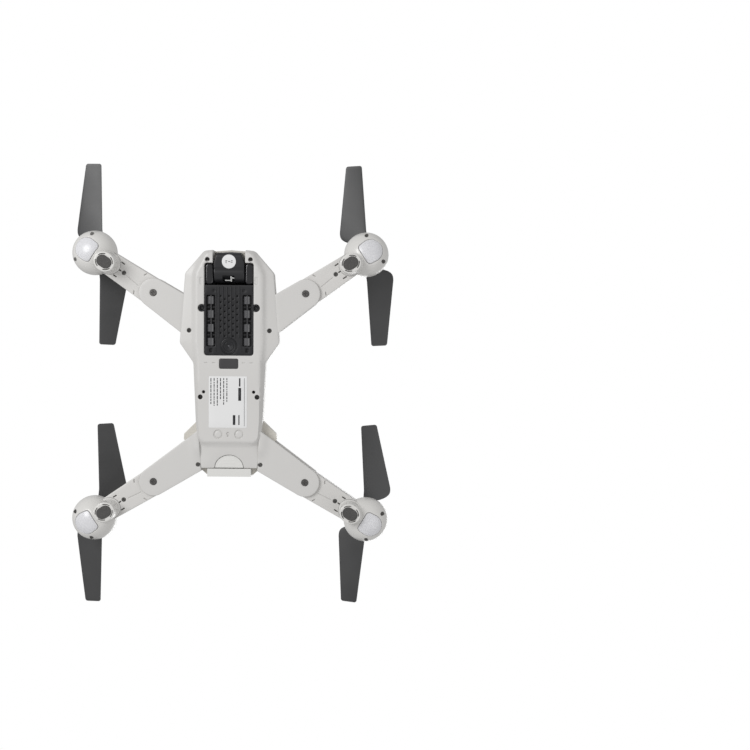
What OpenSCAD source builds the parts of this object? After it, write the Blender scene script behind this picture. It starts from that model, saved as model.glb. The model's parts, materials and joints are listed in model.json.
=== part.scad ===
// Folding camera quadcopter. Millimetres, +Z up, nose towards -Y, ground at Z = 0.
// The origin is on the ground, midway between the four rotors.

/* [Body] */
// Widest part of the shells
body_w = 86; // [84:0.5:88]
// Width across the waist, behind the widest part
waist_w = 62.4; // [61:0.2:63]
// How far the nose lies ahead of the origin
nose_reach = 119; // [118:0.5:121]
// Height of the flat belly above the ground
belly_z = 12; // [11:0.5:13]
// Height of the seam between the two shells
seam_z = 25; // [24.5:0.5:25.5]
// Height of the highest flat of the back
back_z = 48; // [47:0.5:48]
// Wall thickness of the shells
wall = 1.6; // [1.4:0.1:1.8]

/* [Arms] */
// Sideways distance of the fold pivots from the centre line
pivot_x = 65.8; // [65:0.2:66.6]
// Pivot of the front arms, ahead of the origin
front_pivot_y = -80.9; // [-81.5:0.2:-80.3]
// Pivot of the rear arms, behind the origin
rear_pivot_y = 82.9; // [82.3:0.2:83.5]
// Distance from fold pivot to rotor axis
arm_l = 62.3; // [61.5:0.1:63]
// Angle that the front arms point ahead of square
front_sweep = 33.4; // [33:0.2:34]
// Angle that the rear arms point behind square
rear_sweep = 31.9; // [31.5:0.2:32.5]
// Radius of the round motor pods
pod_r = 19.3; // [19:0.1:19.4]

/* [Rotors] */
// Height of the blades' hinge plane
rotor_z = 51; // [51:0.5:53]
// Radius swept by the blade tips
rotor_r = 80; // [78:0.5:80]
// Distance of each blade's hinge pin from the rotor axis
pin_r = 6.5; // [6.4:0.1:6.8]
// Widest reach of the leading edge from the pin line
lead_max = 23.1; // [21:0.1:23.5]
// Blade pitch at the root
root_pitch = 18; // [17:0.5:20]
// Blade pitch at the tip
tip_pitch = 9; // [9:0.5:11]

/* [Camera] */
// Tilt axis behind the nose, as a Y position
tilt_y = -98.6; // [-98.8:0.1:-98.4]
// Height of the tilt axis
tilt_z = 22.5; // [22.4:0.1:22.8]
// Width of the camera case
camera_w = 26.2; // [25:0.2:26.4]

/* [Battery] */
// Width of the battery case
battery_w = 37.8; // [36:0.2:38]
// Rear face of the battery
battery_end_y = 78; // [77:0.5:79]

/* [Hidden] */
$fn = 48;

shell_white = [0.80, 0.80, 0.79];
shell_cream = [0.82, 0.80, 0.76];
battery_white = [0.86, 0.86, 0.84];
tray_black = [0.10, 0.10, 0.11];
lens_black = [0.03, 0.03, 0.04];
pad_grey = [0.22, 0.22, 0.22];
blade_grey = [0.20, 0.20, 0.20];
steel = [0.55, 0.55, 0.57];

eps = 0.01;
gap = 0.2;

// Heights shared by the arm roots and the arms
plate_z = 17;
plate_t = 2.4;
root_top_z = 33;
slot_low_z = plate_z + plate_t;
slot_high_z = root_top_z - plate_t;
root_r = 12.5;
pod_z = 26;
mount_z = 34.5;
foot_x = 15.5;

// Fold angle of each arm, from open to folded
front_fold = 123.4;
rear_fold = 135.5;

// Plan of the shells: half outlines, nose to tail, mirrored by both_sides
waist_y = -20.8;
hip_y = -37.9;
tail_edge_y = 70.8;
front_half = [
    [0, -nose_reach], [21.9, -nose_reach + 1.7], [38.3, -98.1], [body_w / 2, hip_y], [waist_w / 2, waist_y]
];
rear_half = [[waist_w / 2, waist_y - 6], [28.9, 30.2], [27, 50], [24.2, tail_edge_y], [19.6, battery_end_y]];
belly_front_half = [[0, -115], [18.5, -114], [28.5, -100], [29, hip_y], [27, -24]];
belly_rear_half = [[27, -34], [26, 30], [24.5, 47.5]];
flare_half = [[27.5, 28.6], [40.3, 41.6], [40.8, 46.5], [24, 62]];
function both_sides(half) = concat(half, [for (i = [len(half) - 1 : -1 : 0]) [-half[i][0], half[i][1]]]);

// Screws that close the shells: [x, y, head radius]
shell_screw_places = [
    [18.5, -109.7, 1.9], [34.7, -48.7, 1.9], [23.4, -68.1, 1.7], [24.5, 8.6, 2.0], [21.6, 4.2, 1.3]
];
root_screw_place = [26.6, 67.7];

module mirrored_pair() {
    children();
    mirror([1, 0, 0]) children();
}

module slab(z, h, half, inset = 0) {
    translate([0, 0, z]) linear_extrude(h) offset(delta = -inset) polygon(both_sides(half));
}

module stadium(length, r) {
    square([length - 2 * r, 2 * r], center = true);
    for (s = [-1, 1]) translate([s * (length / 2 - r), 0]) circle(r);
}

module rounded_rect(w, l, r) {
    square([w - 2 * r, l], center = true);
    square([w, l - 2 * r], center = true);
    for (sx = [-1, 1], sy = [-1, 1]) translate([sx * (w / 2 - r), sy * (l / 2 - r)]) circle(r);
}

// ---- Shells ----

module lower_front(t = 0) {
    hull() {
        slab(belly_z + t, 0.5, belly_front_half, t);
        slab(plate_z + t / 2, seam_z - plate_z - t / 2 + (t > 0 ? 1 : 0), front_half, t);
    }
}

module lower_rear(t = 0) {
    hull() {
        slab(belly_z + t, 0.5, belly_rear_half, t);
        slab(plate_z + t / 2, seam_z - plate_z - t / 2 + (t > 0 ? 1 : 0), rear_half, t);
    }
}

// Sloped fairing from the belly's edge out to the rear arm root's lower plate
module root_fairing() {
    hull() {
        translate([0, 0, belly_z + 1]) linear_extrude(0.5)
            polygon([[25.6, 24], [22, 30], [22, 48], [24.4, 48]]);
        translate([0, 0, plate_z - 0.5]) linear_extrude(0.5)
            polygon([[26, 24], [36, 44.5], [25.6, 66.5], [22, 60], [22, 30]]);
    }
}

tray_l = 60.7;
tray_y = -57.6;
tray_w = 42.4;

module belly_openings() {
    // camera tray
    translate([0, tray_y, 0]) linear_extrude(seam_z + 5) rounded_rect(tray_w + 0.4, tray_l + 0.4, 2.5);
    // camera bay, open through the nose
    linear_extrude(seam_z + 5)
        polygon(both_sides([[14, -nose_reach - 2], [14, -108.2], [21.9, -108.2], [21.4, -86]]));
    // sensor window
    translate([0, -20.2, belly_z - 1]) linear_extrude(wall + 2) rounded_rect(16.4 + 0.1, 8.6 + 0.1, 1.6);
    // latch notch and battery opening
    translate([0, tail_edge_y, belly_z - 1]) cylinder(h = 8, r = 12.9);
    translate([-battery_w / 2 - 0.3, tail_edge_y, 0]) cube([battery_w + 0.6, 10, 40]);
    translate([-battery_w / 2 - 0.3, 60, plate_z + 2.6]) cube([battery_w + 0.6, 14, 30]);
}

// Columns that stay solid when the shells are hollowed, for the closing screws
module screw_columns() {
    for (p = shell_screw_places) mirrored_pair() translate([p[0], p[1], 0]) cylinder(h = 60, r = p[2] + 0.9);
}

module lower_shell() {
    color(shell_white) difference() {
        union() {
            lower_front();
            lower_rear();
            mirrored_pair() root_fairing();
        }
        difference() {
            union() {
                lower_front(wall);
                lower_rear(wall);
            }
            screw_columns();
        }
        belly_openings();
        for (p = shell_screw_places) mirrored_pair() translate([p[0], p[1], 0]) {
            cylinder(h = 20.5, r = p[2] + 0.1);
            cylinder(h = 40, r = p[2] * 0.55);
        }
        // moulded sensor dimples and keyhole on the belly
        mirrored_pair() translate([9, 40.8, belly_z - 5])
            rotate_extrude() translate([3.3, 0]) square([0.7, 5.6]);
        translate([0, 40.2, belly_z - 1]) cylinder(h = 1.8, r = 1.1);
        translate([-0.4, 40.2, belly_z - 1]) cube([0.8, 2.6, 1.8]);
    }
}

module upper_front(t = 0) {
    hull() {
        slab(seam_z - (t > 0 ? 1 : 0), root_top_z - seam_z, front_half, t);
        slab(39 - t, 0.5, [[17, -113], [24, -106]], t);
        slab(back_z - 1.5 - t, 0.5, [[16, -88], [25, -76], [27, -40], [23, -26]], t);
    }
}

module upper_rear(t = 0) {
    hull() {
        slab(seam_z - (t > 0 ? 1 : 0), root_top_z - seam_z, rear_half, t);
        slab(41 - t, 0.5, [[22, 70], [18.5, 77.4]], t);
        slab(back_z - 0.5 - t, 0.5, [[22, -46], [22.5, 40], [19.5, 62]], t);
    }
}

module upper_shell() {
    color(shell_cream) difference() {
        union() {
            upper_front();
            upper_rear();
            mirrored_pair() hull() {
                translate([0, 0, seam_z]) linear_extrude(root_top_z - seam_z) polygon(flare_half);
                translate([0, 0, 38]) linear_extrude(0.5) polygon([[22, 30], [36, 43], [24, 58]]);
            }
        }
        difference() {
            union() {
                upper_front(wall);
                upper_rear(wall);
            }
            screw_columns();
        }
        // pilot holes for the shell screws
        for (p = shell_screw_places) mirrored_pair()
            translate([p[0], p[1], seam_z - 1]) cylinder(h = 9, r = p[2] * 0.5 + 0.05);
        // open nose for the camera, and its swing
        translate([-14, -nose_reach - 2, seam_z - 1]) cube([28, 20, 10.4]);
        translate([0, tilt_y, tilt_z]) rotate([0, 90, 0]) cylinder(h = 28, r = 14.5, center = true);
        // battery opening
        translate([-battery_w / 2 - 0.3, 60, seam_z - 1]) cube([battery_w + 0.6, 30, 14.3]);
        // power button hole
        translate([0, 30, back_z - 6]) cylinder(h = 10, r = 5.2);
    }
}

// ---- Fixed roots of the arms: a lower and an upper plate, joined by a web beside the body ----

module root_plan(length) {
    circle(root_r);
    inner_half = root_r + length * 0.065;
    polygon([[0, -root_r], [length, -inner_half], [length, inner_half], [0, root_r]]);
}

// The space that the folded arm needs between the plates
module swing_cut(fold, side) {
    circle(root_r + 1.1);
    rotate(side * (180 - fold)) translate([0, -root_r - 0.6]) square([75, 2 * root_r + 1.2]);
}

// Places its child in a frame at the pivot whose +X axis points inwards to the body
module at_root(front) {
    translate([pivot_x, front ? front_pivot_y : rear_pivot_y])
        rotate(front ? 180 - front_sweep : 180 + rear_sweep) children();
}

module root_layer(front, length, body_halves) {
    difference() {
        at_root(front) root_plan(length);
        for (half = body_halves) polygon(both_sides(half));
    }
}

module arm_root(front) {
    fold = front ? front_fold : rear_fold;
    side = front ? -1 : 1;
    length = front ? 42 : 54;
    outline = front ? front_half : rear_half;
    high = front ? [outline] : [outline, flare_half];
    pivot = [pivot_x, front ? front_pivot_y : rear_pivot_y];
    difference() {
        union() {
            translate([0, 0, plate_z]) linear_extrude(plate_t) root_layer(front, length, [outline]);
            translate([0, 0, slot_low_z - eps]) linear_extrude(seam_z - slot_low_z + eps) difference() {
                root_layer(front, length, [outline]);
                at_root(front) swing_cut(fold, side);
            }
            translate([0, 0, seam_z - eps]) linear_extrude(slot_high_z - seam_z + 2 * eps) difference() {
                root_layer(front, length, [outline]);
                if (!front) polygon(flare_half);
                at_root(front) swing_cut(fold, side);
            }
            translate([0, 0, slot_high_z]) linear_extrude(plate_t) difference() {
                root_layer(front, length, [outline]);
                if (!front) polygon(flare_half);
            }
        }
        translate([pivot[0], pivot[1], 0]) {
            cylinder(h = 40, r = 2.02);
            cylinder(h = plate_z + 0.9, r = 3.0);
        }
        if (!front) translate([root_screw_place[0], root_screw_place[1], 0]) {
            cylinder(h = plate_z + 4, r = 2.0);
            cylinder(h = 28, r = 1.1);
        }
    }
}

module cross_recess(r, depth) {
    for (a = [0, 90]) rotate(a) translate([-r * 0.62, -r * 0.14, -eps]) cube([r * 1.24, r * 0.28, depth]);
}

// A pan-head screw, head down at z = 0, shank up
module screw(head_r, head_h, shank_r, length) {
    difference() {
        cylinder(h = head_h, r = head_r);
        cross_recess(head_r, head_h * 0.6);
    }
    translate([0, 0, head_h - eps]) cylinder(h = length, r = shank_r);
}

module arm_pivot_screws() {
    color(steel) mirrored_pair() for (y = [front_pivot_y, rear_pivot_y])
        translate([pivot_x, y, plate_z - 0.6]) screw(2.8, 1.5, 2.0, root_top_z - plate_z - 1.2);
}

module shell_screws() {
    color(steel) mirrored_pair() {
        for (p = shell_screw_places) translate([p[0], p[1], 18.9]) screw(p[2], 1.6, p[2] * 0.5, 11);
        translate([root_screw_place[0], root_screw_place[1], plate_z + 2.4]) screw(1.9, 1.6, 1.0, 5);
    }
}

// ---- Camera tray, dampers, belly lens, window, label and board ----

tray_z = belly_z + 1.2;
damper_x = 15.6;
damper_r = 3.2;
damper_l = 6.4;
damper_pitch = 11.9;
damper_first_y = -74.8;
flow_y = -35.2;
rib_l = 45;
hole_pitch_x = 3.56;
hole_pitch_y = 5.3;

module camera_tray() {
    color(tray_black) difference() {
        union() {
            translate([0, tray_y, tray_z]) linear_extrude(2.2) rounded_rect(tray_w, tray_l, 2.4);
            translate([0, tray_y, tray_z + 2.2 - eps]) linear_extrude(6) difference() {
                rounded_rect(tray_w - 2.4, tray_l - 2.4, 1.6);
                rounded_rect(tray_w - 4.2, tray_l - 5.2, 1);
            }
            // ribs between the columns of sound holes
            for (c = [-2.5 : 2.5])
                translate([c * hole_pitch_x - 0.6, -86.5, tray_z - 0.5]) cube([1.2, rib_l, 0.6]);
            translate([0, flow_y, tray_z - 0.6]) cylinder(h = 2, r = 6.8);
        }
        // sound holes in five staggered columns
        for (c = [-2 : 2], row = [0 : 6])
            translate([c * hole_pitch_x, -78.4 + hole_pitch_y * (row + (abs(c) == 1 ? 0.5 : 0)), tray_z - 1])
                cylinder(h = 4, r = 0.75);
        // damper wells
        well_y = damper_first_y - damper_l / 2 - 0.3;
        for (s = [-1, 1], k = [0 : 3]) translate([s * damper_x - 3.6, well_y + k * damper_pitch, tray_z - 1])
            cube([7.2, damper_pitch - (k == 3 ? 3 : 0.6), 3.6]);
        for (s = [-1, 1]) translate([s * 12.9, -83.1, tray_z - 1]) cylinder(h = 4, r = 1.1);
        translate([0, flow_y, tray_z - 1]) cylinder(h = 5, r = 5.02);
        // relief for the screw bosses beside the tray
        mirrored_pair() translate([shell_screw_places[2][0], shell_screw_places[2][1], 0])
            cylinder(h = 40, r = shell_screw_places[2][2] + 1.5);
    }
    // rails that carry the dampers
    color(tray_black) for (s = [-1, 1]) translate([s * damper_x, -58.5, tray_z + 2.4])
        rotate([90, 0, 0]) cylinder(h = 52, r = 1.3, center = true);
}

module tray_dampers() {
    color([0.30, 0.30, 0.31]) for (s = [-1, 1], k = [0 : 3])
        translate([s * damper_x, damper_first_y + k * damper_pitch, tray_z + 2.4])
            rotate([90, 0, 0]) difference() {
                cylinder(h = damper_l, r = damper_r, center = true);
                cylinder(h = damper_l + 1, r = 1.32, center = true);
            }
}

module flow_camera_lens() {
    color(lens_black) translate([0, flow_y, tray_z - 0.9]) rotate_extrude()
        polygon([
            [0, 1.4], [1.2, 0.9], [2.2, 0.7], [2.2, 0.2], [3.2, 0.2], [3.2, 0], [5, 0], [5, 4.5], [0, 4.5]
        ]);
}

module belly_sensor_window() {
    color(lens_black) translate([0, -20.2, belly_z + 0.2]) linear_extrude(1.6) rounded_rect(16.4, 8.6, 1.6);
}

label_t = 0.15;
module rating_label() {
    color("white") translate([0, 12.9, belly_z - label_t])
        linear_extrude(label_t) rounded_rect(33, 44.6, 0.6);
}

module camera_yoke() {
    yoke_in = camera_w / 2 + 0.5;
    color(tray_black) difference() {
        union() {
            mirrored_pair() {
                // cheek beside the camera, round-ended in side view
                translate([yoke_in, 0, 0]) rotate([90, 0, 90]) linear_extrude(7.2) {
                    translate([-101, tilt_z]) circle(7.5);
                    translate([-101, tilt_z - 7.5]) square([12.7, 15]);
                }
                // tilt journal that the camera turns on
                translate([yoke_in - 2.2, tilt_y, tilt_z]) rotate([0, 90, 0]) cylinder(h = 3, r = 2.0);
                translate([yoke_in + 2, -90.6, tilt_z + 2]) cube([4.5, 2.3, 12]);
            }
            // bridge over the back of the camera, hung from the board
            translate([-yoke_in - 7.2, -90.6, 34.5]) cube([2 * yoke_in + 14.4, 8, 2]);
        }
        // screw bosses of the shells pass beside the cheeks
        mirrored_pair() translate([shell_screw_places[0][0], shell_screw_places[0][1], 0])
            cylinder(h = 60, r = shell_screw_places[0][2] + 1.7);
    }
}

module main_board() {
    color([0.05, 0.25, 0.14]) {
        translate([-19, -80, 29]) cube([38, 78, 1.6]);
        translate([-9, -62, 30.6 - eps]) cube([16, 16, 1.8]);
        translate([-8, -36, 30.6 - eps]) cube([9, 9, 1.4]);
        translate([4, -34, 30.6 - eps]) cube([10, 7, 2]);
        translate([-9, -7, 25]) cube([18, 6, 4 + eps]);
    }
}

// ---- Camera ----

lens_z = 22.1;

module camera_side_profile() {
    // block ahead of the axis, with rounded corners, and the barrel around the axis
    hull() {
        for (z = [16.1, 28.1]) translate([-112.6, z]) circle(4.3, $fn = 32);
        translate([-101, 13]) circle(0.7, $fn = 16);
        translate([-99.6, 30.5]) circle(1.6, $fn = 16);
    }
    translate([tilt_y, tilt_z]) circle(9.4);
}

module camera_case() {
    w = camera_w / 2;
    color(tray_black) difference() {
        intersection() {
            rotate([90, 0, 90]) linear_extrude(camera_w, center = true) camera_side_profile();
            linear_extrude(60)
                polygon(both_sides([[w - 2.6, -117], [w - 0.3, -108.4], [w, -107.8], [w, -80]]));
        }
        // blind journal holes at the tilt axis
        for (s = [-1, 1]) translate([s * w, tilt_y, tilt_z]) rotate([0, 90, 0])
            cylinder(h = 4.4, r = 2.06, center = true);
        // lens seat in the front face
        translate([0, -117.9, lens_z]) rotate([-90, 0, 0]) cylinder(h = 6, r = 6.52);
    }
}

module camera_lens() {
    color(lens_black) translate([0, -117.9, lens_z]) rotate([-90, 0, 0]) rotate_extrude()
        polygon([[0, 1.6], [2.4, 1.1], [3.8, 0.6], [4.6, 0.6], [4.6, 0], [6.5, 0], [6.5, 5.9], [0, 5.9]]);
}

// Round sticker on the underside of the camera block, which slopes down towards the nose
module camera_sticker() {
    color("white") translate([0, -107, 12.02]) rotate([2.5, 0, 0])
        translate([0, 0, -0.12]) cylinder(h = 0.12, r = 5.2);
}

// ---- Battery ----

battery_low_z = 20.4;
module battery_case() {
    color(battery_white) difference() {
        union() {
            translate([0, 38.5, battery_low_z]) linear_extrude(17) rounded_rect(battery_w, 69, 1.5);
            translate([-battery_w / 2, tail_edge_y + 0.3, plate_z - 0.8])
                cube([battery_w, battery_end_y - tail_edge_y - 0.3, 21.4]);
        }
        translate([-battery_w / 2 + 1, 6, battery_low_z + 1]) cube([battery_w - 2, 60, 15]);
        // finger grooves in the rear face
        for (z = [24 : 3 : 33]) translate([-12, battery_end_y - 0.5, z]) cube([24, 1, 1]);
    }
}

module battery_cells() {
    color([0.20, 0.35, 0.60]) for (z = [0, 7.4])
        translate([0, 36, battery_low_z + 1.1 + z]) linear_extrude(7.2) rounded_rect(battery_w - 2.4, 59, 2);
}

// Half-round press tongue under the tail, with grip ridges
latch_z = plate_z - 0.2;
module battery_latch() {
    color(battery_white) {
        intersection() {
            translate([0, tail_edge_y, latch_z]) cylinder(h = 1.6, r = 12.3);
            translate([-20, 50, 0]) cube([40, tail_edge_y - 50 - 0.1, 60]);
        }
        for (y = [62.5 : 2 : 68.5]) translate([-4, y, latch_z - 0.3]) cube([8, 0.8, 0.4]);
    }
}

module power_button() {
    color(pad_grey) translate([0, 30, 0]) {
        translate([0, 0, back_z - 1.2]) cylinder(h = 1.8, r = 5.0);
        translate([0, 0, back_z - 6]) cylinder(h = 5, r = 2.2);
    }
}

// ---- Folding arms: each is drawn with its pivot at the origin and its rotor along +X ----

module arm_beam_plan() {
    circle(root_r - 0.3);
    polygon([[0, root_r - 0.6], [arm_l, 10], [arm_l, -10], [0, -root_r + 0.6]]);
    // heel that stops the arm when it is open
    translate([-5.6, 2]) square([5, root_r - 2.8]);
}

module arm() {
    beam_z = slot_low_z + gap;
    beam_h = slot_high_z - slot_low_z - 2 * gap;
    color(shell_white) difference() {
        union() {
            difference() {
                translate([0, 0, beam_z]) linear_extrude(beam_h) arm_beam_plan();
                // room for the pod below the motor seat
                translate([arm_l, 0, 0]) cylinder(h = pod_z, r = pod_r + 0.3);
                // hollow for the motor leads
                translate([16, -7, beam_z + 2]) cube([30, 14, beam_h - 4]);
            }
            translate([arm_l, 0, pod_z]) rotate_extrude()
                polygon([
                    [0, 0], [pod_r, 0], [pod_r - 0.3, 3], [pod_r - 1.2, 6],
                    [pod_r - 2.6, 8], [pod_r - 3.6, 8.5], [0, 8.5]
                ]);
        }
        cylinder(h = 60, r = 2.07);
        // recess under the motor seat, for the speed controller
        translate([arm_l, 0, pod_z - 1]) cylinder(h = 6, r = pod_r - 3);
        // bearing clearance and motor screws
        translate([arm_l, 0, 0]) cylinder(h = 60, r = 3.1);
        for (a = [45 : 90 : 315]) translate([arm_l, 0, 30])
            rotate(a) translate([6, 0, 0]) cylinder(h = 6, r = 0.8);
        // cooling slots and cover screw under the beam
        for (s = [-1, 0, 1])
            translate([arm_l - 28.8 + abs(s) * 1.6, s * 6.6 - 0.5, beam_z - 1]) cube([4, 1, 2.6]);
        translate([arm_l - 31.4, 0, beam_z - 1]) cylinder(h = 2.6, r = 1.9);
    }
}

module pod() {
    color(shell_white) translate([arm_l, 0, 0]) difference() {
        union() {
            // bowl
            intersection() {
                difference() {
                    translate([0, 0, pod_z]) sphere(r = pod_r);
                    translate([0, 0, pod_z]) sphere(r = pod_r - 1.5);
                }
                cylinder(h = pod_z - eps, r = 30);
            }
            // leg under the root side of the bowl
            difference() {
                translate([-foot_x, 0, 0.8]) cylinder(h = slot_low_z + gap - 0.8, r1 = 8, r2 = 9.8);
                translate([0, 0, pod_z]) sphere(r = pod_r - 1.2);
            }
            // screw posts
            for (s = [-1, 1]) rotate(s * 55) translate([16.2, 0, 14]) cylinder(h = pod_z - 14 - eps, r = 2.2);
        }
        translate([-foot_x, 0, 2.4]) cylinder(h = 13, r1 = 6.6, r2 = 7.6);
        // seat of the rubber pad and the slots around it
        translate([-foot_x, 0, 0]) linear_extrude(1.6) stadium(13.6 + 0.1, 4.95);
        for (a = [45 : 90 : 315]) translate([-foot_x, 0, 0]) rotate(a - 22)
            rotate_extrude(angle = 44) translate([6.6, 0]) square([0.7, 1.6]);
        // lamp window
        lamp_cut(8.9);
        for (s = [-1, 1]) rotate(s * 55) translate([16.2, 0, 0]) {
            cylinder(h = 17.5, r = 1.6);
            cylinder(h = 30, r = 0.85);
        }
    }
}

// D-shaped column that cuts the lamp window out of the bowl
module lamp_cut(r) {
    translate([7.8, 0, 0]) linear_extrude(pod_z - 3) difference() {
        circle(r);
        translate([-r - 6, -20]) square([r + 0.2, 40]);
    }
}

module lamp() {
    color([0.93, 0.93, 0.95]) translate([arm_l, 0, 0]) intersection() {
        difference() {
            translate([0, 0, pod_z]) sphere(r = pod_r + 0.25);
            translate([0, 0, pod_z]) sphere(r = pod_r - 1.3);
        }
        lamp_cut(8.8);
    }
}

module foot() {
    color(pad_grey) translate([arm_l - foot_x, 0, 0]) linear_extrude(1.55) stadium(13.6, 4.9);
}

module stator() {
    color([0.65, 0.42, 0.22]) translate([arm_l, 0, mount_z]) difference() {
        union() {
            rotate_extrude() polygon([[0, 0], [9.5, 0], [9.5, 1.6], [3, 1.6], [3, 9.5], [0, 9.5]]);
            translate([0, 0, 2.4]) linear_extrude(6) {
                circle(5.2);
                for (a = [0 : 40 : 320]) rotate(a) {
                    translate([4.5, -0.9]) square([4, 1.8]);
                    translate([7.6, -2.4]) square([1.6, 4.8]);
                }
            }
        }
        translate([0, 0, -1]) cylinder(h = 12, r = 1.06);
    }
}

module arm_screws() {
    color(steel) translate([arm_l, 0, 0]) {
        for (s = [-1, 1]) rotate(s * 55) translate([16.2, 0, 16.4]) screw(1.5, 1.1, 0.8, 8.5);
        translate([-31.4, 0, slot_low_z + gap + 0.2]) screw(1.8, 1.3, 0.5, 0.1);
    }
}

// ---- Rotor: drawn on its own axis ----

module bell() {
    color([0.24, 0.24, 0.26]) difference() {
        union() {
            translate([0, 0, mount_z + 1.9]) rotate_extrude()
                polygon([
                    [10.2, 0], [11.3, 0], [11.6, 0.5], [11.6, 8.8], [10.6, 10], [0, 10], [0, 9], [9.8, 9],
                    [10.2, 8.6]
                ]);
            translate([0, 0, mount_z + 10.9]) cylinder(h = 2.7, r = 3);
            translate([0, 0, mount_z + 1]) cylinder(h = rotor_z + 2.4 - mount_z - 1, r = 1.0);
        }
        for (a = [0 : 60 : 300]) rotate(a) translate([4.2, -1.7, mount_z + 10]) cube([4.6, 3.4, 4]);
    }
}

module hub() {
    color(blade_grey) translate([0, 0, rotor_z]) difference() {
        union() {
            for (z = [-2.8, 1.5]) translate([0, 0, z])
                linear_extrude(1.3) rotate(90) stadium(2 * pin_r + 8.4, 4.2);
            translate([0, 0, -2.8]) cylinder(h = 5.6, r = 2.6);
            for (s = [-1, 1]) translate([0, s * pin_r, -2.8]) cylinder(h = 6.4, r = 1.0);
            for (s = [-1, 1]) translate([0, s * pin_r, 2.8 - eps]) cylinder(h = 0.9, r = 1.9);
        }
        translate([0, 0, -10]) cylinder(h = 20, r = 1.02);
    }
}

// Blade outline, as reach from the pin line at radius r from the rotor axis
shoulder_r = 12.2;
wide_r = 22;
neck = 3.4;
function leading(r) =
    r < shoulder_r - 0.8 ? neck
    : r < wide_r ? lead_max * (0.87 + 0.13 * sin(90 * (r - shoulder_r) / (wide_r - shoulder_r)))
    : lead_max - (r - wide_r) * 8.1 / 59 - (r > rotor_r - 1 ? 1.6 : 0);
function trailing(r) =
    r < wide_r ? -neck + (neck - 0.6) * pow(max(0, r - pin_r) / (wide_r - pin_r), 0.8)
    : -0.6 + (r - wide_r) * 1.8 / 59 + (r > rotor_r - 1 ? 1.4 : 0);
function pitch(r) = root_pitch + (tip_pitch - root_pitch) * (r - pin_r) / (rotor_r - pin_r);
function half_thick(r) = 1.1 - 0.65 * (r - pin_r) / (rotor_r - pin_r);

blade_stations = [11, 11.6, 12.2, 14.5, 18, 22, 30, 40, 50, 60, 70, rotor_r - 1.6, rotor_r];
chord_steps = [0, 0.08, 0.3, 0.6, 0.88, 1];
// One thin lens section: over the top from leading to trailing edge, and back underneath
function section(r) = let (a = leading(r), b = trailing(r), k = tan(pitch(r)), h = half_thick(r)) concat(
    [for (t = chord_steps) let (x = a + (b - a) * t) [-x, -r, x * k + h * 2 * sqrt(t * (1 - t)) + 0.08]],
    [for (i = [len(chord_steps) - 1 : -1 : 0]) let (t = chord_steps[i], x = a + (b - a) * t)
        [-x, -r, x * k - h * 1.4 * sqrt(t * (1 - t)) - 0.08]]
);

module blade() {
    n = 2 * len(chord_steps);
    m = len(blade_stations);
    points = [for (s = blade_stations) each section(s)];
    sides = [for (i = [0 : m - 2], j = [0 : n - 1]) let (a = i * n + j, b = i * n + (j + 1) % n)
        each [[a, b, b + n], [a, b + n, a + n]]];
    ends = concat([[for (j = [n - 1 : -1 : 0]) j]], [[for (j = [0 : n - 1]) (m - 1) * n + j]]);
    difference() {
        union() {
            polyhedron(points, concat(sides, ends), convexity = 4);
            translate([0, -pin_r, -1.4]) cylinder(h = 2.8, r = 3.6);
            translate([-neck, -pin_r - 4.9, -1.1]) cube([2 * neck, 4.5, 2.2]);
        }
        translate([0, -pin_r, -5]) cylinder(h = 10, r = 1.06);
    }
}

// ---- Placing of arms and rotors ----
// [front?, side (+1 is +X, the drone's left), hub angle, swing of blade a, swing of blade b, handedness]

function spot(name) =
    name == "front_left" ? [true, 1, -2.6, 0, 0, 1]
    : name == "front_right" ? [true, -1, 1, 0, 1.5, 1]
    : name == "rear_left" ? [false, 1, 0.3, -5, 5, -1]
    : [false, -1, -1.7, -1.4, 1.4, -1];

module at_arm(name) {
    s = spot(name);
    mirror([s[1] < 0 ? 1 : 0, 0, 0]) translate([pivot_x, s[0] ? front_pivot_y : rear_pivot_y, 0])
        rotate(s[0] ? -front_sweep : rear_sweep) children();
}

function rotor_place(s) =
    [s[1] * (pivot_x + arm_l * cos(s[0] ? front_sweep : rear_sweep)),
     s[0] ? front_pivot_y - arm_l * sin(front_sweep) : rear_pivot_y + arm_l * sin(rear_sweep), 0];

module at_rotor(name) {
    s = spot(name);
    translate(rotor_place(s)) rotate(s[2]) children();
}

module placed_blade(name, second) {
    s = spot(name);
    color(blade_grey) at_rotor(name) rotate(second ? 180 : 0)
        translate([0, -pin_r, rotor_z]) rotate(second ? s[4] : s[3]) translate([0, pin_r, 0])
            mirror([s[5] < 0 ? 1 : 0, 0, 0]) blade();
}

lower_shell();
upper_shell();
color(shell_white) mirrored_pair() arm_root(true);  // front_arm_roots
color(shell_white) mirrored_pair() arm_root(false);  // rear_arm_roots
arm_pivot_screws();
shell_screws();
camera_tray();
tray_dampers();
flow_camera_lens();
belly_sensor_window();
rating_label();
camera_yoke();
main_board();
camera_case();
camera_lens();
camera_sticker();
battery_case();
battery_cells();
battery_latch();
power_button();
for (name = ["front_left", "front_right", "rear_left", "rear_right"]) {
    at_arm(name) arm();
    at_arm(name) pod();
    at_arm(name) lamp();
    at_arm(name) foot();
    at_arm(name) stator();
    at_arm(name) arm_screws();
    at_rotor(name) bell();
    at_rotor(name) hub();
    placed_blade(name, false);
    placed_blade(name, true);
}
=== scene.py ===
import json
import math

import bmesh
import bpy
import numpy as np
from mathutils import Matrix, Vector
from mathutils.geometry import delaunay_2d_cdt


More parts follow.
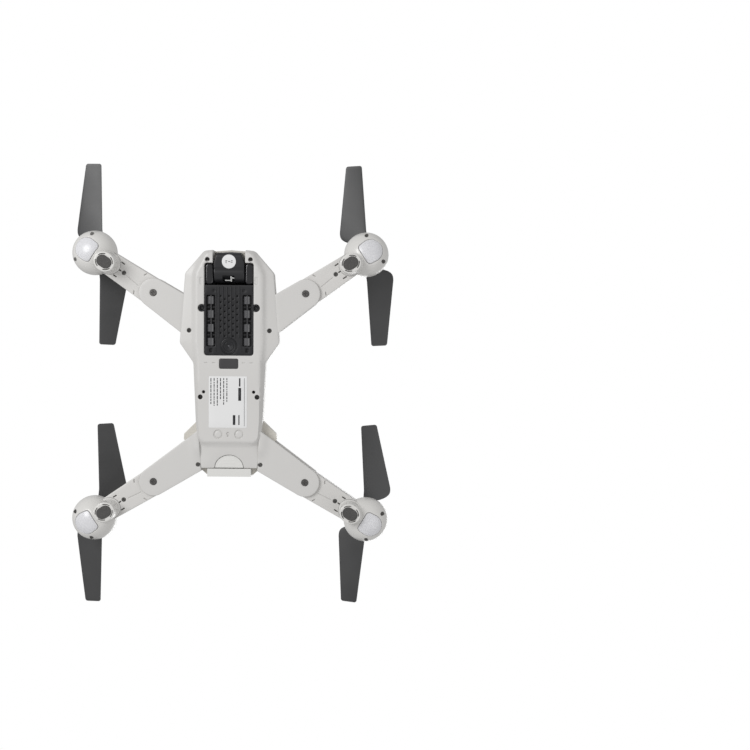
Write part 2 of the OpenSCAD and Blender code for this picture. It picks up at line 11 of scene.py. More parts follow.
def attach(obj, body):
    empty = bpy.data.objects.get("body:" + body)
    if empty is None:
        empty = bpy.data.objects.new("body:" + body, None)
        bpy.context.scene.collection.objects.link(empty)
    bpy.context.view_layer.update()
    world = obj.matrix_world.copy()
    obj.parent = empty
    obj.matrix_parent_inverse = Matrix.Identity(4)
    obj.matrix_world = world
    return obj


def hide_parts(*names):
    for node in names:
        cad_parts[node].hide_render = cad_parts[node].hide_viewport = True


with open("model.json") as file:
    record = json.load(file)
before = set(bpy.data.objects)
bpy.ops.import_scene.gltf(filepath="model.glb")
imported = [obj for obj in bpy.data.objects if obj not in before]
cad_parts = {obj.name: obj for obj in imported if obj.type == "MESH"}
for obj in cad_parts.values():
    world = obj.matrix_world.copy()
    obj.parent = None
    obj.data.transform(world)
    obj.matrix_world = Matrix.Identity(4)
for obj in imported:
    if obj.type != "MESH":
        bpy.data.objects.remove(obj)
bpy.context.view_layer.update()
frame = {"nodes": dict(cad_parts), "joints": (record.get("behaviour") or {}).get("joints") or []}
print("stage: frame loaded")

# Shapes are worked out in millimetres, and become metres when a mesh is made.
mm = 0.001
joints = {joint["name"]: joint for joint in frame["joints"]}
cornerNames = ["front_left", "front_right", "rear_left", "rear_right"]


def jointPlace(name):
    return np.array(joints[name]["pos_m"]) / mm


def rounded(corners, step=1.5):
    # Closed outline through (x, y, radius) corners, with arcs at the corners and even steps between
    points = np.array([corner[:2] for corner in corners], float)
    count = len(points)
    loop = []
    for i in range(count):
        here, before, after = points[i], points[i - 1], points[(i + 1) % count]
        radius = corners[i][2]
        a = (before - here) / np.linalg.norm(before - here)
        b = (after - here) / np.linalg.norm(after - here)
        half = math.acos(np.clip(a @ b, -1, 1)) / 2
        if radius <= 0 or half > 1.55:
            loop.append(here[None])
            continue
        shorter = min(np.linalg.norm(before - here), np.linalg.norm(after - here))
        reach = min(radius / math.tan(half), 0.48 * shorter)
        radius = reach * math.tan(half)
        middle = here + (a + b) / np.linalg.norm(a + b) * radius / math.sin(half)
        start, end = here + a * reach - middle, here + b * reach - middle
        turn = math.atan2(start[0] * end[1] - start[1] * end[0], start @ end)
        angles = np.linspace(0, turn, max(3, int(abs(turn) / 0.2)) + 1)
        cos, sin = np.cos(angles), np.sin(angles)
        arc = np.stack([start[0] * cos - start[1] * sin, start[0] * sin + start[1] * cos], 1)
        loop.append(middle + arc)
    return stepped(np.vstack(loop), step)


def stepped(loop, step):
    # The same closed outline without doubled points, and with its long edges cut into even steps
    loop = loop[np.linalg.norm(loop - np.roll(loop, 1, 0), axis=1) > 0.001]
    following = np.roll(loop, -1, 0)
    pieces = []
    for p, q in zip(loop, following):
        count = max(1, round(float(np.linalg.norm(q - p)) / step))
        pieces.append(p + (q - p) * np.arange(count)[:, None] / count)
    return np.vstack(pieces)


def circleLoop(x, y, radius, count=32, stretch=1.0):
    # (x + stretch r cos a, y + r sin a): a circle, or an ellipse stretched along x
    a = np.arange(count) * 2 * math.pi / count
    return np.stack([x + radius * stretch * np.cos(a), y + radius * np.sin(a)], 1)


def rectLoop(x, y, width, length, radius, turn=0.0, step=1.5):
    w, h = width / 2, length / 2
    loop = rounded([(w, h, radius), (-w, h, radius), (-w, -h, radius), (w, -h, radius)], step)
    c, s = math.cos(turn), math.sin(turn)
    return np.stack([x + loop[:, 0] * c - loop[:, 1] * s, y + loop[:, 0] * s + loop[:, 1] * c], 1)


def counterclockwise(loop):
    following = np.roll(loop, -1, 0)
    area = np.sum(loop[:, 0] * following[:, 1] - loop[:, 1] * following[:, 0])
    return loop if area > 0 else loop[::-1]


def grown(loop, distance):
    # Counterclockwise outline moved outwards by distance, along the mean normal of each point's two edges
    ahead = np.roll(loop, -1, 0) - loop
    behind = loop - np.roll(loop, 1, 0)
    ahead /= np.linalg.norm(ahead, axis=1)[:, None]
    behind /= np.linalg.norm(behind, axis=1)[:, None]
    normal = np.stack([ahead[:, 1] + behind[:, 1], -ahead[:, 0] - behind[:, 0]], 1)
    length = np.linalg.norm(normal, axis=1)
    return loop + normal / length[:, None] * (distance / np.maximum(length / 2, 0.5))[:, None]


def inset(loop, distance):
    # Outline moved inwards, without the points that sharp corners would push too near the other side
    moved = grown(loop, -distance)
    return moved[distanceTo(moved, loop) > distance * 0.985]


def hullLoop(points, step=1.5):
    # Convex outline around the points
    order = points[np.lexsort((points[:, 1], points[:, 0]))]
    chains = []
    for sequence in (order, order[::-1]):
        chain = []
        for p in sequence:
            while len(chain) > 1 and np.cross(chain[-1] - chain[-2], p - chain[-2]) <= 1e-9:
                chain.pop()
            chain.append(p)
        chains.append(chain[:-1])
    return stepped(np.array(chains[0] + chains[1]), step)


def mirrored(loop):
    return counterclockwise(loop * [-1, 1])


def bothSides(half):
    # Whole outline from the corners of its +X half, nose to tail
    return counterclockwise(rounded(half[::-1] + [(-x, y, r) for x, y, r in half if x > 0]))


def distanceTo(points, loop):
    # Distance from each point to a closed outline
    nearest = np.full(len(points), 1e9)
    for p, q in zip(loop, np.roll(loop, -1, 0)):
        edge = q - p
        t = np.clip(((points - p) @ edge) / max(edge @ edge, 1e-12), 0, 1)
        nearest = np.minimum(nearest, np.linalg.norm(points - p - t[:, None] * edge, axis=1))
    return nearest


def within(points, loop):
    # True for points inside a closed outline, by counting crossings
    inside = np.zeros(len(points), bool)
    x, y = points[:, 0], points[:, 1]
    for (x0, y0), (x1, y1) in zip(loop, np.roll(loop, -1, 0)):
        if y0 == y1:
            continue
        crosses = (y0 > y) != (y1 > y)
        inside ^= crosses & (x < (x1 - x0) * (y - y0) / (y1 - y0) + x0)
    return inside


def ease(t):
    t = np.clip(t, 0, 1)
    return t * t * (3 - 2 * t)


class Shape:
    # Vertices and faces gathered from several patches

    def __init__(self):
        self.points, self.faces, self.count = [], [], 0

    def add(self, points, faces):
        self.points.append(np.asarray(points, float))
        self.faces += [tuple(int(i) + self.count for i in face) for face in faces]
        self.count += len(points)

    def addRings(self, rings, closeEnds=(False, False)):
        # Closed rings of equal length joined one to the next, with flat ends if asked
        n = len(rings[0])
        steps = np.arange(n)
        following = (steps + 1) % n
        faces = []
        for k in range(len(rings) - 1):
            low, high = k * n, (k + 1) * n
            faces += np.stack([low + steps, low + following, high + following, high + steps], 1).tolist()
        if closeEnds[0]:
            faces.append(list(range(n))[::-1])
        if closeEnds[1]:
            faces.append([(len(rings) - 1) * n + i for i in range(n)])
        self.add(np.vstack(rings), faces)

    def moved(self, change):
        out = Shape()
        out.points = [change(np.vstack(self.points))]
        out.faces, out.count = list(self.faces), self.count
        return out


def closeCracks(work):
    # welds the open or tripled edges, takes off doubled faces and fins, and fills what is left open
    for _ in range(8):
        faulty = [v for v in work.verts if any(len(edge.link_faces) != 2 for edge in v.link_edges)]
        if not faulty:
            break
        bmesh.ops.remove_doubles(work, verts=faulty, dist=1.5e-4)
        bmesh.ops.dissolve_degenerate(work, dist=1e-6, edges=work.edges)
        seen, spare = set(), []
        for face in work.faces:
            corners = frozenset(face.verts)
            fin = any(e.is_boundary for e in face.edges) and any(len(e.link_faces) > 2 for e in face.edges)
            if fin or corners in seen:
                spare.append(face)
            seen.add(corners)
        bmesh.ops.delete(work, geom=spare, context="FACES_ONLY")
        bmesh.ops.delete(work, geom=[edge for edge in work.edges if not edge.link_faces], context="EDGES")
        bmesh.ops.holes_fill(work, edges=[edge for edge in work.edges if edge.is_boundary], sides=0)


def finishMesh(name, shape, material, body, node=None, slotName=None, sharp=38):
    # Welds the patches, points the faces outwards, and hands the piece to its body
    mesh = bpy.data.meshes.new(name)
    mesh.from_pydata((np.vstack(shape.points) * mm).tolist(), [], shape.faces)
    work = bmesh.new()
    work.from_mesh(mesh)
    bmesh.ops.remove_doubles(work, verts=work.verts, dist=4e-6)
    bmesh.ops.dissolve_degenerate(work, dist=1e-7, edges=work.edges)
    bmesh.ops.holes_fill(work, edges=[edge for edge in work.edges if edge.is_boundary], sides=0)
    closeCracks(work)
    bmesh.ops.recalc_face_normals(work, faces=work.faces)
    work.to_mesh(mesh)
    work.free()
    mesh.shade_smooth()
    mesh.set_sharp_from_angle(angle=math.radians(sharp))
    piece = bpy.data.objects.new(name, mesh)
    bpy.context.scene.collection.objects.link(piece)
    mesh.materials.append(material)
    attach(piece, body)
    if node:
        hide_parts(node)
    return piece


def triangulated(loops, extra):
    # Triangles between the first outline and the ones inside it, with extra points in the field
    points, edges = [], []
    start = 0
    for loop in loops:
        n = len(loop)
        points.append(loop)
        edges += [(start + i, start + (i + 1) % n) for i in range(n)]
        start += n
    if len(extra):
        points.append(extra)
    flat = np.vstack(points)
    vertices, _, faces, _, _, _ = delaunay_2d_cdt([Vector(p) for p in flat.tolist()], edges, [], 0, 1e-6)
    vertices = np.array([tuple(v) for v in vertices])
    faces = np.array([tuple(face) for face in faces])
    centres = vertices[faces].mean(1)
    keep = within(centres, loops[0])
    for loop in loops[1:]:
        keep &= ~within(centres, loop)
    return vertices, faces[keep]


def fieldPoints(loops, spacing):
    # Staggered points inside the first outline, clear of every outline
    low, high = loops[0].min(0), loops[0].max(0)
    xs = np.arange(low[0], high[0], spacing)
    ys = np.arange(low[1], high[1], spacing * 0.866)
    grid = np.stack(np.meshgrid(xs, ys), -1)
    grid[1::2, :, 0] += spacing / 2
    points = grid.reshape(-1, 2)
    keep = within(points, loops[0]) & (distanceTo(points, loops[0]) > spacing * 0.6)
    for loop in loops[1:]:
        keep &= ~within(points, loop) & (distanceTo(points, loop) > spacing * 0.6)
    return points[keep]


def pocket(loop, depth, lip):
    # Blind hole: its wall goes down to depth, and a floor closes it there
    return loop, depth, True, lip


def opening(loop, depth, lip):
    # Hole whose wall ends at depth and stays open
    return loop, depth, False, lip


def skin(shape, outline, lift, holes=(), spacing=2.5, lip=0.5, lipSteps=4, edge=None, guides=()):
    # One moulded face over its plan, (x, y) to lift(x, y, depth), with quarter-round lips at its outline and holes.
    # At angle a, a lip stands lip (1 - sin a) inside the outline and lip (1 - cos a) below the face.
    # edge is (lift, depth) for the last ring around the outline. Guides are rows of points that the mesh keeps
    outline = counterclockwise(outline)
    holes = [(counterclockwise(h[0]),) + tuple(h[1:]) for h in holes]
    loops = [grown(outline, -lip)] + [grown(h[0], h[3]) for h in holes]
    extra = fieldPoints(loops, spacing)
    for g in guides:
        extra = extra[distanceTo(extra, g) > spacing * 0.5]
        clear = np.ones(len(g), bool)
        for loop in loops:
            clear &= distanceTo(g, loop) > spacing * 0.3
        for loop in loops[1:]:
            clear &= ~within(g, loop)
        extra = np.vstack([extra, g[clear & within(g, loops[0])]])
    vertices, faces = triangulated(loops, extra)
    shape.add(lift(vertices, np.zeros(len(vertices))), faces)
    turns = np.linspace(0, math.pi / 2, lipSteps + 1)
    rings = []
    for a in turns:
        loop = grown(outline, -lip * (1 - math.sin(a)))
        rings.append(lift(loop, np.full(len(loop), lip * (1 - math.cos(a)))))
    if edge:
        rings.append(edge[0](outline, np.full(len(outline), float(edge[1]))))
    shape.addRings(rings)
    for loop, depth, floor, holeLip in holes:
        rings = []
        for a in turns:
            ring = grown(loop, holeLip * (1 - math.sin(a)))
            rings.append(lift(ring, np.full(len(ring), holeLip * (1 - math.cos(a)))))
        rings.append(lift(loop, np.full(len(loop), float(depth))))
        shape.addRings(rings, (False, bool(floor)))


def below(height):
    # Lift for a face seen from below: height(points) is its level, and depth goes up into the part
    def lift(points, depth):
        level = height(points) if callable(height) else np.full(len(points), float(height))
        return np.column_stack([points, level + depth])
    return lift


def above(height):
    # The same for a face seen from above: depth goes down into the part
    def lift(points, depth):
        level = height(points) if callable(height) else np.full(len(points), float(height))
        return np.column_stack([points, level - depth])
    return lift


def addRim(shape, outer, inner, level):
    # Flat strip between two outlines at one level
    vertices, faces = triangulated([outer, inner], [])
    shape.add(flatAt(level)(vertices, None), faces)


def flatAt(z):
    def lift(points, depth):
        return np.column_stack([points, np.full(len(points), float(z))])
    return lift


def closeBack(shape, outline, level, share):
    # Flat back at one level, from the outline to the same outline shrunk to a share of itself
    loop = counterclockwise(outline)
    shape.addRings([flatAt(level)(loop, None), flatAt(level)(loop * share + loop.mean(0) * (1 - share), None)],
                   (False, True))


def moulded(shape, outline, low, high, lip=0.6, spacing=3.0, lowHoles=(), through=()):
    # Closed solid between a low and a high face. Through holes are (loop, lip)
    middle = sum(np.mean(face(outline)) if callable(face) else face for face in (low, high)) * 0.5
    seam = (flatAt(middle), 0)
    down = [opening(loop, middle - low, holeLip) for loop, holeLip in through]
    up = [opening(loop, high - middle, holeLip) for loop, holeLip in through]
    skin(shape, outline, below(low), list(lowHoles) + down, spacing, lip, edge=seam)
    skin(shape, outline, above(high), up, spacing, lip, edge=seam)


def lathe(shape, profile, centre=(0, 0), count=48, axis="z"):
    # (cx + r cos a, cy + r sin a, h) for each (r, h) of the profile, h along the axis, with flat ends
    order = {"x": [2, 0, 1], "y": [0, 2, 1], "z": [0, 1, 2]}[axis]
    a = np.arange(count) * 2 * math.pi / count
    rings = [np.stack([centre[0] + r * np.cos(a), centre[1] + r * np.sin(a), np.full(count, float(h))], 1)[:, order]
             for r, h in profile]
    shape.addRings(rings, (True, True))
    return shape


def newMaterial(name):
    material = bpy.data.materials.new(name)
    material.use_nodes = True
    tree = material.node_tree
    shader = tree.nodes["Principled BSDF"]
    return material, tree, shader


def addNode(tree, kind, inputs=None, **settings):
    node = tree.nodes.new(kind)
    for key, value in settings.items():
        setattr(node, key, value)
    for key, value in (inputs or {}).items():
        if isinstance(value, bpy.types.NodeSocket):
            tree.links.new(value, node.inputs[key])
        else:
            node.inputs[key].default_value = value
    return node


def objectCoordinates(tree):
    return addNode(tree, "ShaderNodeTexCoord").outputs["Object"]


def noiseOf(tree, scale, detail=3.0, rough=0.5):
    return addNode(tree, "ShaderNodeTexNoise", {"Vector": objectCoordinates(tree), "Scale": scale, "Detail": detail,
                                                "Roughness": rough})


def mixColour(tree, factor, dark, light):
    mix = addNode(tree, "ShaderNodeMix", data_type="RGBA")
    tree.links.new(factor, mix.inputs[0])
    mix.inputs[6].default_value = (*dark, 1)
    mix.inputs[7].default_value = (*light, 1)
    return mix.outputs[2]


def ranged(tree, value, low, high, toLow, toHigh):
    return addNode(tree, "ShaderNodeMapRange", {"Value": value, "From Min": low, "From Max": high,
                                                "To Min": toLow, "To Max": toHigh}).outputs["Result"]


def mouldedPlastic(name, colour, roughness=0.4, grain=0.06, grainScale=1800, variation=0.03, gloss=0.5, coat=0.0):
    # Injection-moulded plastic: fine spark texture from high noise, faint flow marks from low noise that shift colour
    # and roughness, and softened edges from rounded normals
    material, tree, shader = newMaterial(name)
    flow = noiseOf(tree, 22, 4.0)
    dark = [c * (1 - variation) for c in colour]
    light = [min(1.0, c * (1 + variation)) for c in colour]
    tree.links.new(mixColour(tree, flow.outputs[0], dark, light), shader.inputs["Base Color"])
    smudge = noiseOf(tree, 60, 5.0, 0.6)
    tree.links.new(ranged(tree, smudge.outputs[0], 0.3, 0.7, roughness * 0.85, min(1.0, roughness * 1.15)),
                   shader.inputs["Roughness"])
    spark = noiseOf(tree, grainScale, 2.0)
    soft = addNode(tree, "ShaderNodeBevel", {"Radius": 0.00025}, samples=4)
    bump = addNode(tree, "ShaderNodeBump", {"Height": spark.outputs[0], "Strength": grain, "Distance": 0.0002,
                                            "Normal": soft.outputs[0]})
    tree.links.new(bump.outputs[0], shader.inputs["Normal"])
    shader.inputs["Specular IOR Level"].default_value = gloss
    shader.inputs["Coat Weight"].default_value = coat
    shader.inputs["Coat Roughness"].default_value = 0.08
    return material


def metal(name, colour, roughness, brush=900):
    # Plated or turned metal: roughness and a slight bump follow stretched noise
    material, tree, shader = newMaterial(name)
    grain = noiseOf(tree, brush, 3.0)
    tree.links.new(mixColour(tree, grain.outputs[0], [c * 0.8 for c in colour], colour),
                   shader.inputs["Base Color"])
    tree.links.new(ranged(tree, grain.outputs[0], 0.3, 0.7, roughness * 0.7, roughness * 1.3),
                   shader.inputs["Roughness"])
    shader.inputs["Metallic"].default_value = 0.9
    soft = addNode(tree, "ShaderNodeBevel", {"Radius": 0.00015}, samples=4)
    bump = addNode(tree, "ShaderNodeBump", {"Height": grain.outputs[0], "Strength": 0.1, "Distance": 0.0001,
                                            "Normal": soft.outputs[0]})
    tree.links.new(bump.outputs[0], shader.inputs["Normal"])
    return material


def lensGlass(name, tint, centre, ringScale=0.0):
    # Dark coated optics: faint rings around the lens axis from the distance to it, under a clear glossy coat
    material, tree, shader = newMaterial(name)
    shader.inputs["Base Color"].default_value = (*tint, 1)
    shader.inputs["Coat Weight"].default_value = 1.0
    shader.inputs["Coat Roughness"].default_value = 0.03
    haze = noiseOf(tree, 260, 3.0)
    tree.links.new(ranged(tree, haze.outputs[0], 0.2, 0.8, 0.08, 0.2), shader.inputs["Roughness"])
    if ringScale:
        offset = addNode(tree, "ShaderNodeVectorMath", {0: objectCoordinates(tree), 1: centre},
                         operation="SUBTRACT")
        length = addNode(tree, "ShaderNodeVectorMath", {0: offset.outputs[0]}, operation="LENGTH")
        wave = addNode(tree, "ShaderNodeMath", {0: length.outputs["Value"], 1: ringScale}, operation="MULTIPLY")
        ring = addNode(tree, "ShaderNodeMath", {0: wave.outputs[0]}, operation="SINE")
        bump = addNode(tree, "ShaderNodeBump", {"Height": ring.outputs[0], "Strength": 0.35, "Distance": 0.0002})
        tree.links.new(bump.outputs[0], shader.inputs["Normal"])
    return material


def frosted(name):
    # Milky diffuser: white body with light scattered inside it, and a smooth bright skin
    material, tree, shader = newMaterial(name)
    cloud = noiseOf(tree, 40, 2.0)
    tree.links.new(mixColour(tree, cloud.outputs[0], (0.68, 0.68, 0.70), (0.74, 0.74, 0.765)),
                   shader.inputs["Base Color"])
    tree.links.new(ranged(tree, cloud.outputs[0], 0.3, 0.7, 0.24, 0.32), shader.inputs["Roughness"])
    shader.inputs["Subsurface Weight"].default_value = 0.35
    shader.inputs["Subsurface Radius"].default_value = (0.004, 0.004, 0.004)
    shader.inputs["Subsurface Scale"].default_value = 1.0
    shader.inputs["Coat Weight"].default_value = 0.25
    shader.inputs["Coat Roughness"].default_value = 0.2
    return material


def bladePlastic(name):
    # Glass-filled nylon: dark grey with cloudy flow marks, a satin sheen and fine streaks
    material, tree, shader = newMaterial(name)
    flow = noiseOf(tree, 35, 4.0)
    tree.links.new(mixColour(tree, flow.outputs[0], (0.034, 0.034, 0.035), (0.052, 0.052, 0.053)),
                   shader.inputs["Base Color"])
    tree.links.new(ranged(tree, flow.outputs[0], 0.3, 0.7, 0.36, 0.46), shader.inputs["Roughness"])
    streak = noiseOf(tree, 1500, 2.0)
    bump = addNode(tree, "ShaderNodeBump", {"Height": streak.outputs[0], "Strength": 0.08, "Distance": 0.0002})
    tree.links.new(bump.outputs[0], shader.inputs["Normal"])
    shader.inputs["Specular IOR Level"].default_value = 0.55
    return material


def rubber(name):
    # Matte rubber pad with a fine pebbled skin from cell noise
    material, tree, shader = newMaterial(name)
    cells = addNode(tree, "ShaderNodeTexVoronoi", {"Vector": objectCoordinates(tree), "Scale": 1500.0})
    tree.links.new(mixColour(tree, cells.outputs["Distance"], (0.045, 0.043, 0.042), (0.085, 0.082, 0.08)),
                   shader.inputs["Base Color"])
    shader.inputs["Roughness"].default_value = 0.72
    bump = addNode(tree, "ShaderNodeBump", {"Height": cells.outputs["Distance"], "Strength": 0.4, "Distance": 0.0003})
    tree.links.new(bump.outputs[0], shader.inputs["Normal"])
    return material


paint = {
    "shell": mouldedPlastic("shellGrey", (0.615, 0.605, 0.59), 0.36),
    "arm": mouldedPlastic("armGrey", (0.64, 0.628, 0.61), 0.34),
    # upper shell: the lower shell's grey plastic warmed to cream, a painted shade tint taken from where the upper
    # shell lay in shadow
    "shadeTintedShell": mouldedPlastic("shellPaintedShade", (0.66, 0.635, 0.58), 0.36),
    "pod": mouldedPlastic("podWhite", (0.69, 0.68, 0.66), 0.26, coat=0.2),
    "battery": mouldedPlastic("batteryLight", (0.70, 0.695, 0.675), 0.38),
    "tray": mouldedPlastic("trayBlack", (0.014, 0.014, 0.016), 0.36, variation=0.12, gloss=0.4),
    "glossBlack": mouldedPlastic("glossBlack", (0.008, 0.008, 0.010), 0.16, grain=0.02, coat=0.4),
    "caseBlack": mouldedPlastic("cameraBlack", (0.016, 0.016, 0.018), 0.34, variation=0.1, gloss=0.45),
    "damper": mouldedPlastic("damperGrey", (0.06, 0.06, 0.064), 0.14, grain=0.02, coat=1.0),
    "window": mouldedPlastic("windowDark", (0.040, 0.038, 0.040), 0.3, grain=0.02, coat=0.3),
    "paper": mouldedPlastic("labelFilm", (0.76, 0.76, 0.76), 0.35, grain=0.02, variation=0.01),
    "ink": mouldedPlastic("labelInk", (0.055, 0.055, 0.06), 0.5, grain=0.02, variation=0.1),
    "lamp": frosted("lampFrosted"),
    "blade": bladePlastic("bladeNylon"),
    "rubber": rubber("padRubber"),
    "screw": metal("screwPlated", (0.16, 0.155, 0.15), 0.34),
    "silver": metal("silverSteel", (0.75, 0.75, 0.74), 0.25),
    "motor": metal("motorAnodised", (0.10, 0.10, 0.105), 0.3),
    "copper": metal("windingCopper", (0.62, 0.30, 0.13), 0.35, 2500),
    "board": mouldedPlastic("boardMask", (0.02, 0.14, 0.06), 0.3, variation=0.2, coat=0.4),
    "cells": mouldedPlastic("cellFilm", (0.08, 0.20, 0.42), 0.25, grain=0.1, grainScale=300),
}
print("stage: materials")

# half outlines are (x, y, corner radius) on the +X side, from the nose to the tail
belly = {
    "level": 12.0, "wingLevel": 17.0, "seam": 25.0, "wall": 1.6, "rise": 2.4, "riseWidth": 4.5,
    "outlineHalf": [(0, -119, 0), (21.9, -117.3, 5), (38.3, -98.1, 5), (43, -37.9, 4), (31.2, -20.8, 6),
                    (28.9, 30.2, 30), (27, 50, 30), (24.2, 70.8, 0.8)],
    "flatHalf": [(0, -116.5, 0), (19, -115.3, 5), (27.8, -97, 8), (28.2, -38, 12), (26.6, -22, 12), (26.2, 30, 30),
                 (24.8, 47.5, 6)],
    "rampTop": 47.5, "rampEnd": 70.8, "rampHalf": 23.6, "rampDrop": 0.7, "rampRise": 3.2,
}
latchNotch = {"radius": 12.6, "reach": 11.5, "y": 70.6, "tail": 70.8}
bellyPads = {"x": 9, "y": 40.8, "ringRadius": 3.9}
# (x, y, radius) of each screw hole, and of the ears that hold the tray
shellScrews = [(18.5, -109.7, 1.9), (34.7, -48.7, 1.9), (24.5, 8.6, 2.0), (21.6, 4.2, 1.3)]
trayLugs = (23.4, -68.1, 3.3)

bodyOutline = bothSides(belly["outlineHalf"])
flatOutline = bothSides(belly["flatHalf"])
rampOutline = counterclockwise(rounded([
    (belly["rampHalf"], belly["rampTop"], 3.2), (-belly["rampHalf"], belly["rampTop"], 3.2),
    (-belly["rampHalf"] + 1.4, belly["rampEnd"] + 8, 0), (belly["rampHalf"] - 1.4, belly["rampEnd"] + 8, 0)]))


def bellyHeight(points):
    # Flat belly; past its edge the level rises by an eased step, then runs straight to the wing level at the outline.
    # The tail ramp drops in by a small step and climbs evenly to the tail
    points = np.asarray(points, float)
    outside = np.where(within(points, flatOutline), 0, distanceTo(points, flatOutline))
    toEdge = distanceTo(points, bodyOutline) * within(points, bodyOutline)
    share = outside / (outside + toEdge + 1e-6)
    level = belly["level"] + belly["rise"] * ease(outside / belly["riseWidth"])
    level += (belly["wingLevel"] - belly["level"] - belly["rise"]) * share
    along = (points[:, 1] - belly["rampTop"]) / (belly["rampEnd"] - belly["rampTop"])
    ramp = belly["level"] + belly["rampDrop"] + belly["rampRise"] * np.clip(along, 0, 1.4)
    inRamp = ease(np.where(within(points, rampOutline), distanceTo(points, rampOutline), 0) / 0.9)
    ramp = np.maximum(level, ramp * inRamp + (1 - inRamp) * (ramp - 0.7))
    return np.where(points[:, 1] > belly["rampTop"], ramp, level)


def trayOpening():
    # +X half of the one opening for the camera and the tray: nose mouth, cheek, and a round ear at its side
    lugX, lugY, lugR = trayLugs
    half = [(13.9, -106.9, 0.6), (21.3, -106.9, 2.2), (21.3, -71.2, 0)]
    turns = np.radians(np.linspace(-122, 122, 17))
    half += [(lugX + lugR * math.cos(a), lugY + lugR * math.sin(a), 0) for a in turns]
    return half + [(21.3, -65, 0), (21.3, -27.2, 2.6)]


def makeLowerShell():
    shape = Shape()
    # the bay opens through the nose, so it is cut into the outline itself
    bay = [(13.9, -118.1, 0.6)] + trayOpening()
    edge = belly["outlineHalf"][1:]
    notch = latchNotch["radius"]
    notchEnd = (notch, latchNotch["tail"], 0.6)
    arc = [(notch * math.cos(a), latchNotch["y"] - latchNotch["reach"] * math.sin(a), 0)
           for a in np.linspace(0.04, math.pi - 0.04, 31)]
    left = [(-x, y, r) for x, y, r in [notchEnd] + edge[::-1] + bay]
    outline = rounded(left + bay[::-1] + edge + [notchEnd] + arc)
    holes = [opening(rectLoop(0, -20.2, 16.6, 8.8, 1.6), 2.2, 0.3)]
    for side in (-1, 1):
        holes += [opening(circleLoop(side * x, y, r + 0.1, 24), 7.0, 0.35) for x, y, r in shellScrews]
        holes.append(pocket(circleLoop(side * bellyPads["x"], bellyPads["y"], bellyPads["ringRadius"]), 0.7, 0.25))
        holes.append(pocket(rectLoop(side * 23.6, -91.3, 2.6, 6.0, 0.7), 0.5, 0.3))
        for x in (12.8, 19.5):
            holes.append(pocket(rectLoop(side * x, -21, 2.6, 0.5, 0.2), 0.4, 0.08))
    keyhole = [(-0.5 + 1.4 * math.sin(a), 40.2 - 1.4 * math.cos(a), 0) for a in np.linspace(-2.6, 2.6, 15)]
    holes.append(pocket(rounded(keyhole + [(0.22, 42.8, 0.1), (-1.22, 42.8, 0.1)], 0.8), 0.8, 0.1))
    rim = (flatAt(belly["seam"]), 0)
    guides = [grown(rampOutline, 0.05), grown(rampOutline, -0.9), flatOutline, grown(flatOutline, 2.2)]
    skin(shape, outline, below(bellyHeight), holes, spacing=1.7, lip=0.7, edge=rim, guides=guides)
    # inside of the shell: the same plan pulled in by the wall, joined to the seam's rim
    outer = counterclockwise(outline)
    inner = inset(outer, belly["wall"])
    lift = below(lambda points: bellyHeight(points) + belly["wall"])
    addRim(shape, outer, inner, belly["seam"])
    shape.addRings([flatAt(belly["seam"])(inner, None), lift(inner, np.zeros(len(inner)))])
    loops = [inner] + [counterclockwise(loop) for loop, _, floor, _ in holes if not floor]
    vertices, faces = triangulated(loops, fieldPoints(loops, 4.0))
    shape.add(lift(vertices, 0), faces)
    for loop, depth, floor, _ in holes:
        if not floor:
            loop = counterclockwise(loop)
            shape.addRings([below(bellyHeight)(loop, np.full(len(loop), float(depth))), lift(loop, 0)])
    finishMesh("lowerShell", shape, paint["shell"], "root", "lower_shell", "shell_grey", 45)


def makeBellyPads():
    # Two low round pads, turned, in their moulded rings
    shape = Shape()
    for side in (-1, 1):
        lathe(shape, [(0.05, 12.05), (1.6, 12.06), (2.4, 12.14), (2.95, 12.4), (3.1, 12.8), (3.1, 13.4), (0.05, 13.4)],
              (side * bellyPads["x"], bellyPads["y"]))
    finishMesh("bellyPads", shape, paint["shell"], "root", None, "shell_grey")


makeLowerShell()
makeBellyPads()
print("stage: lower shell")

back = {
    "seam": 25.2, "shoulder": 33.0, "top": 47.8, "width": 17.0, "wall": 1.6, "batteryHalf": 19.2, "mouthHalf": 14,
    "tilt": (-98.6, 22.5), "buttonY": 30, "buttonHole": 5.2, "buttonSink": 2.4,
    "half": [(0, -118.8, 0), (21.7, -117.1, 5), (38.1, -98.1, 5), (42.8, -37.9, 4), (31, -20.9, 6), (28.7, 30.2, 3),
             (40.2, 41.6, 1.4), (40.6, 46.4, 1.2), (26.2, 62, 5), (25.4, 72.5, 1.2), (19.7, 77.6, 0.8)],
}
backOutline = bothSides(back["half"])
# the hollow follows the lower shell, so the flares ahead of the rear arms are solid underneath
backHollow = bothSides([(0, -117.2, 0), (20.9, -115.5, 4), (36.3, -97.2, 4), (41.1, -38.2, 3), (29.4, -21.5, 5),
                        (27.1, 30.2, 30), (25.3, 50, 30), (22.8, 68.0, 1), (18.3, 69.0, 1)])


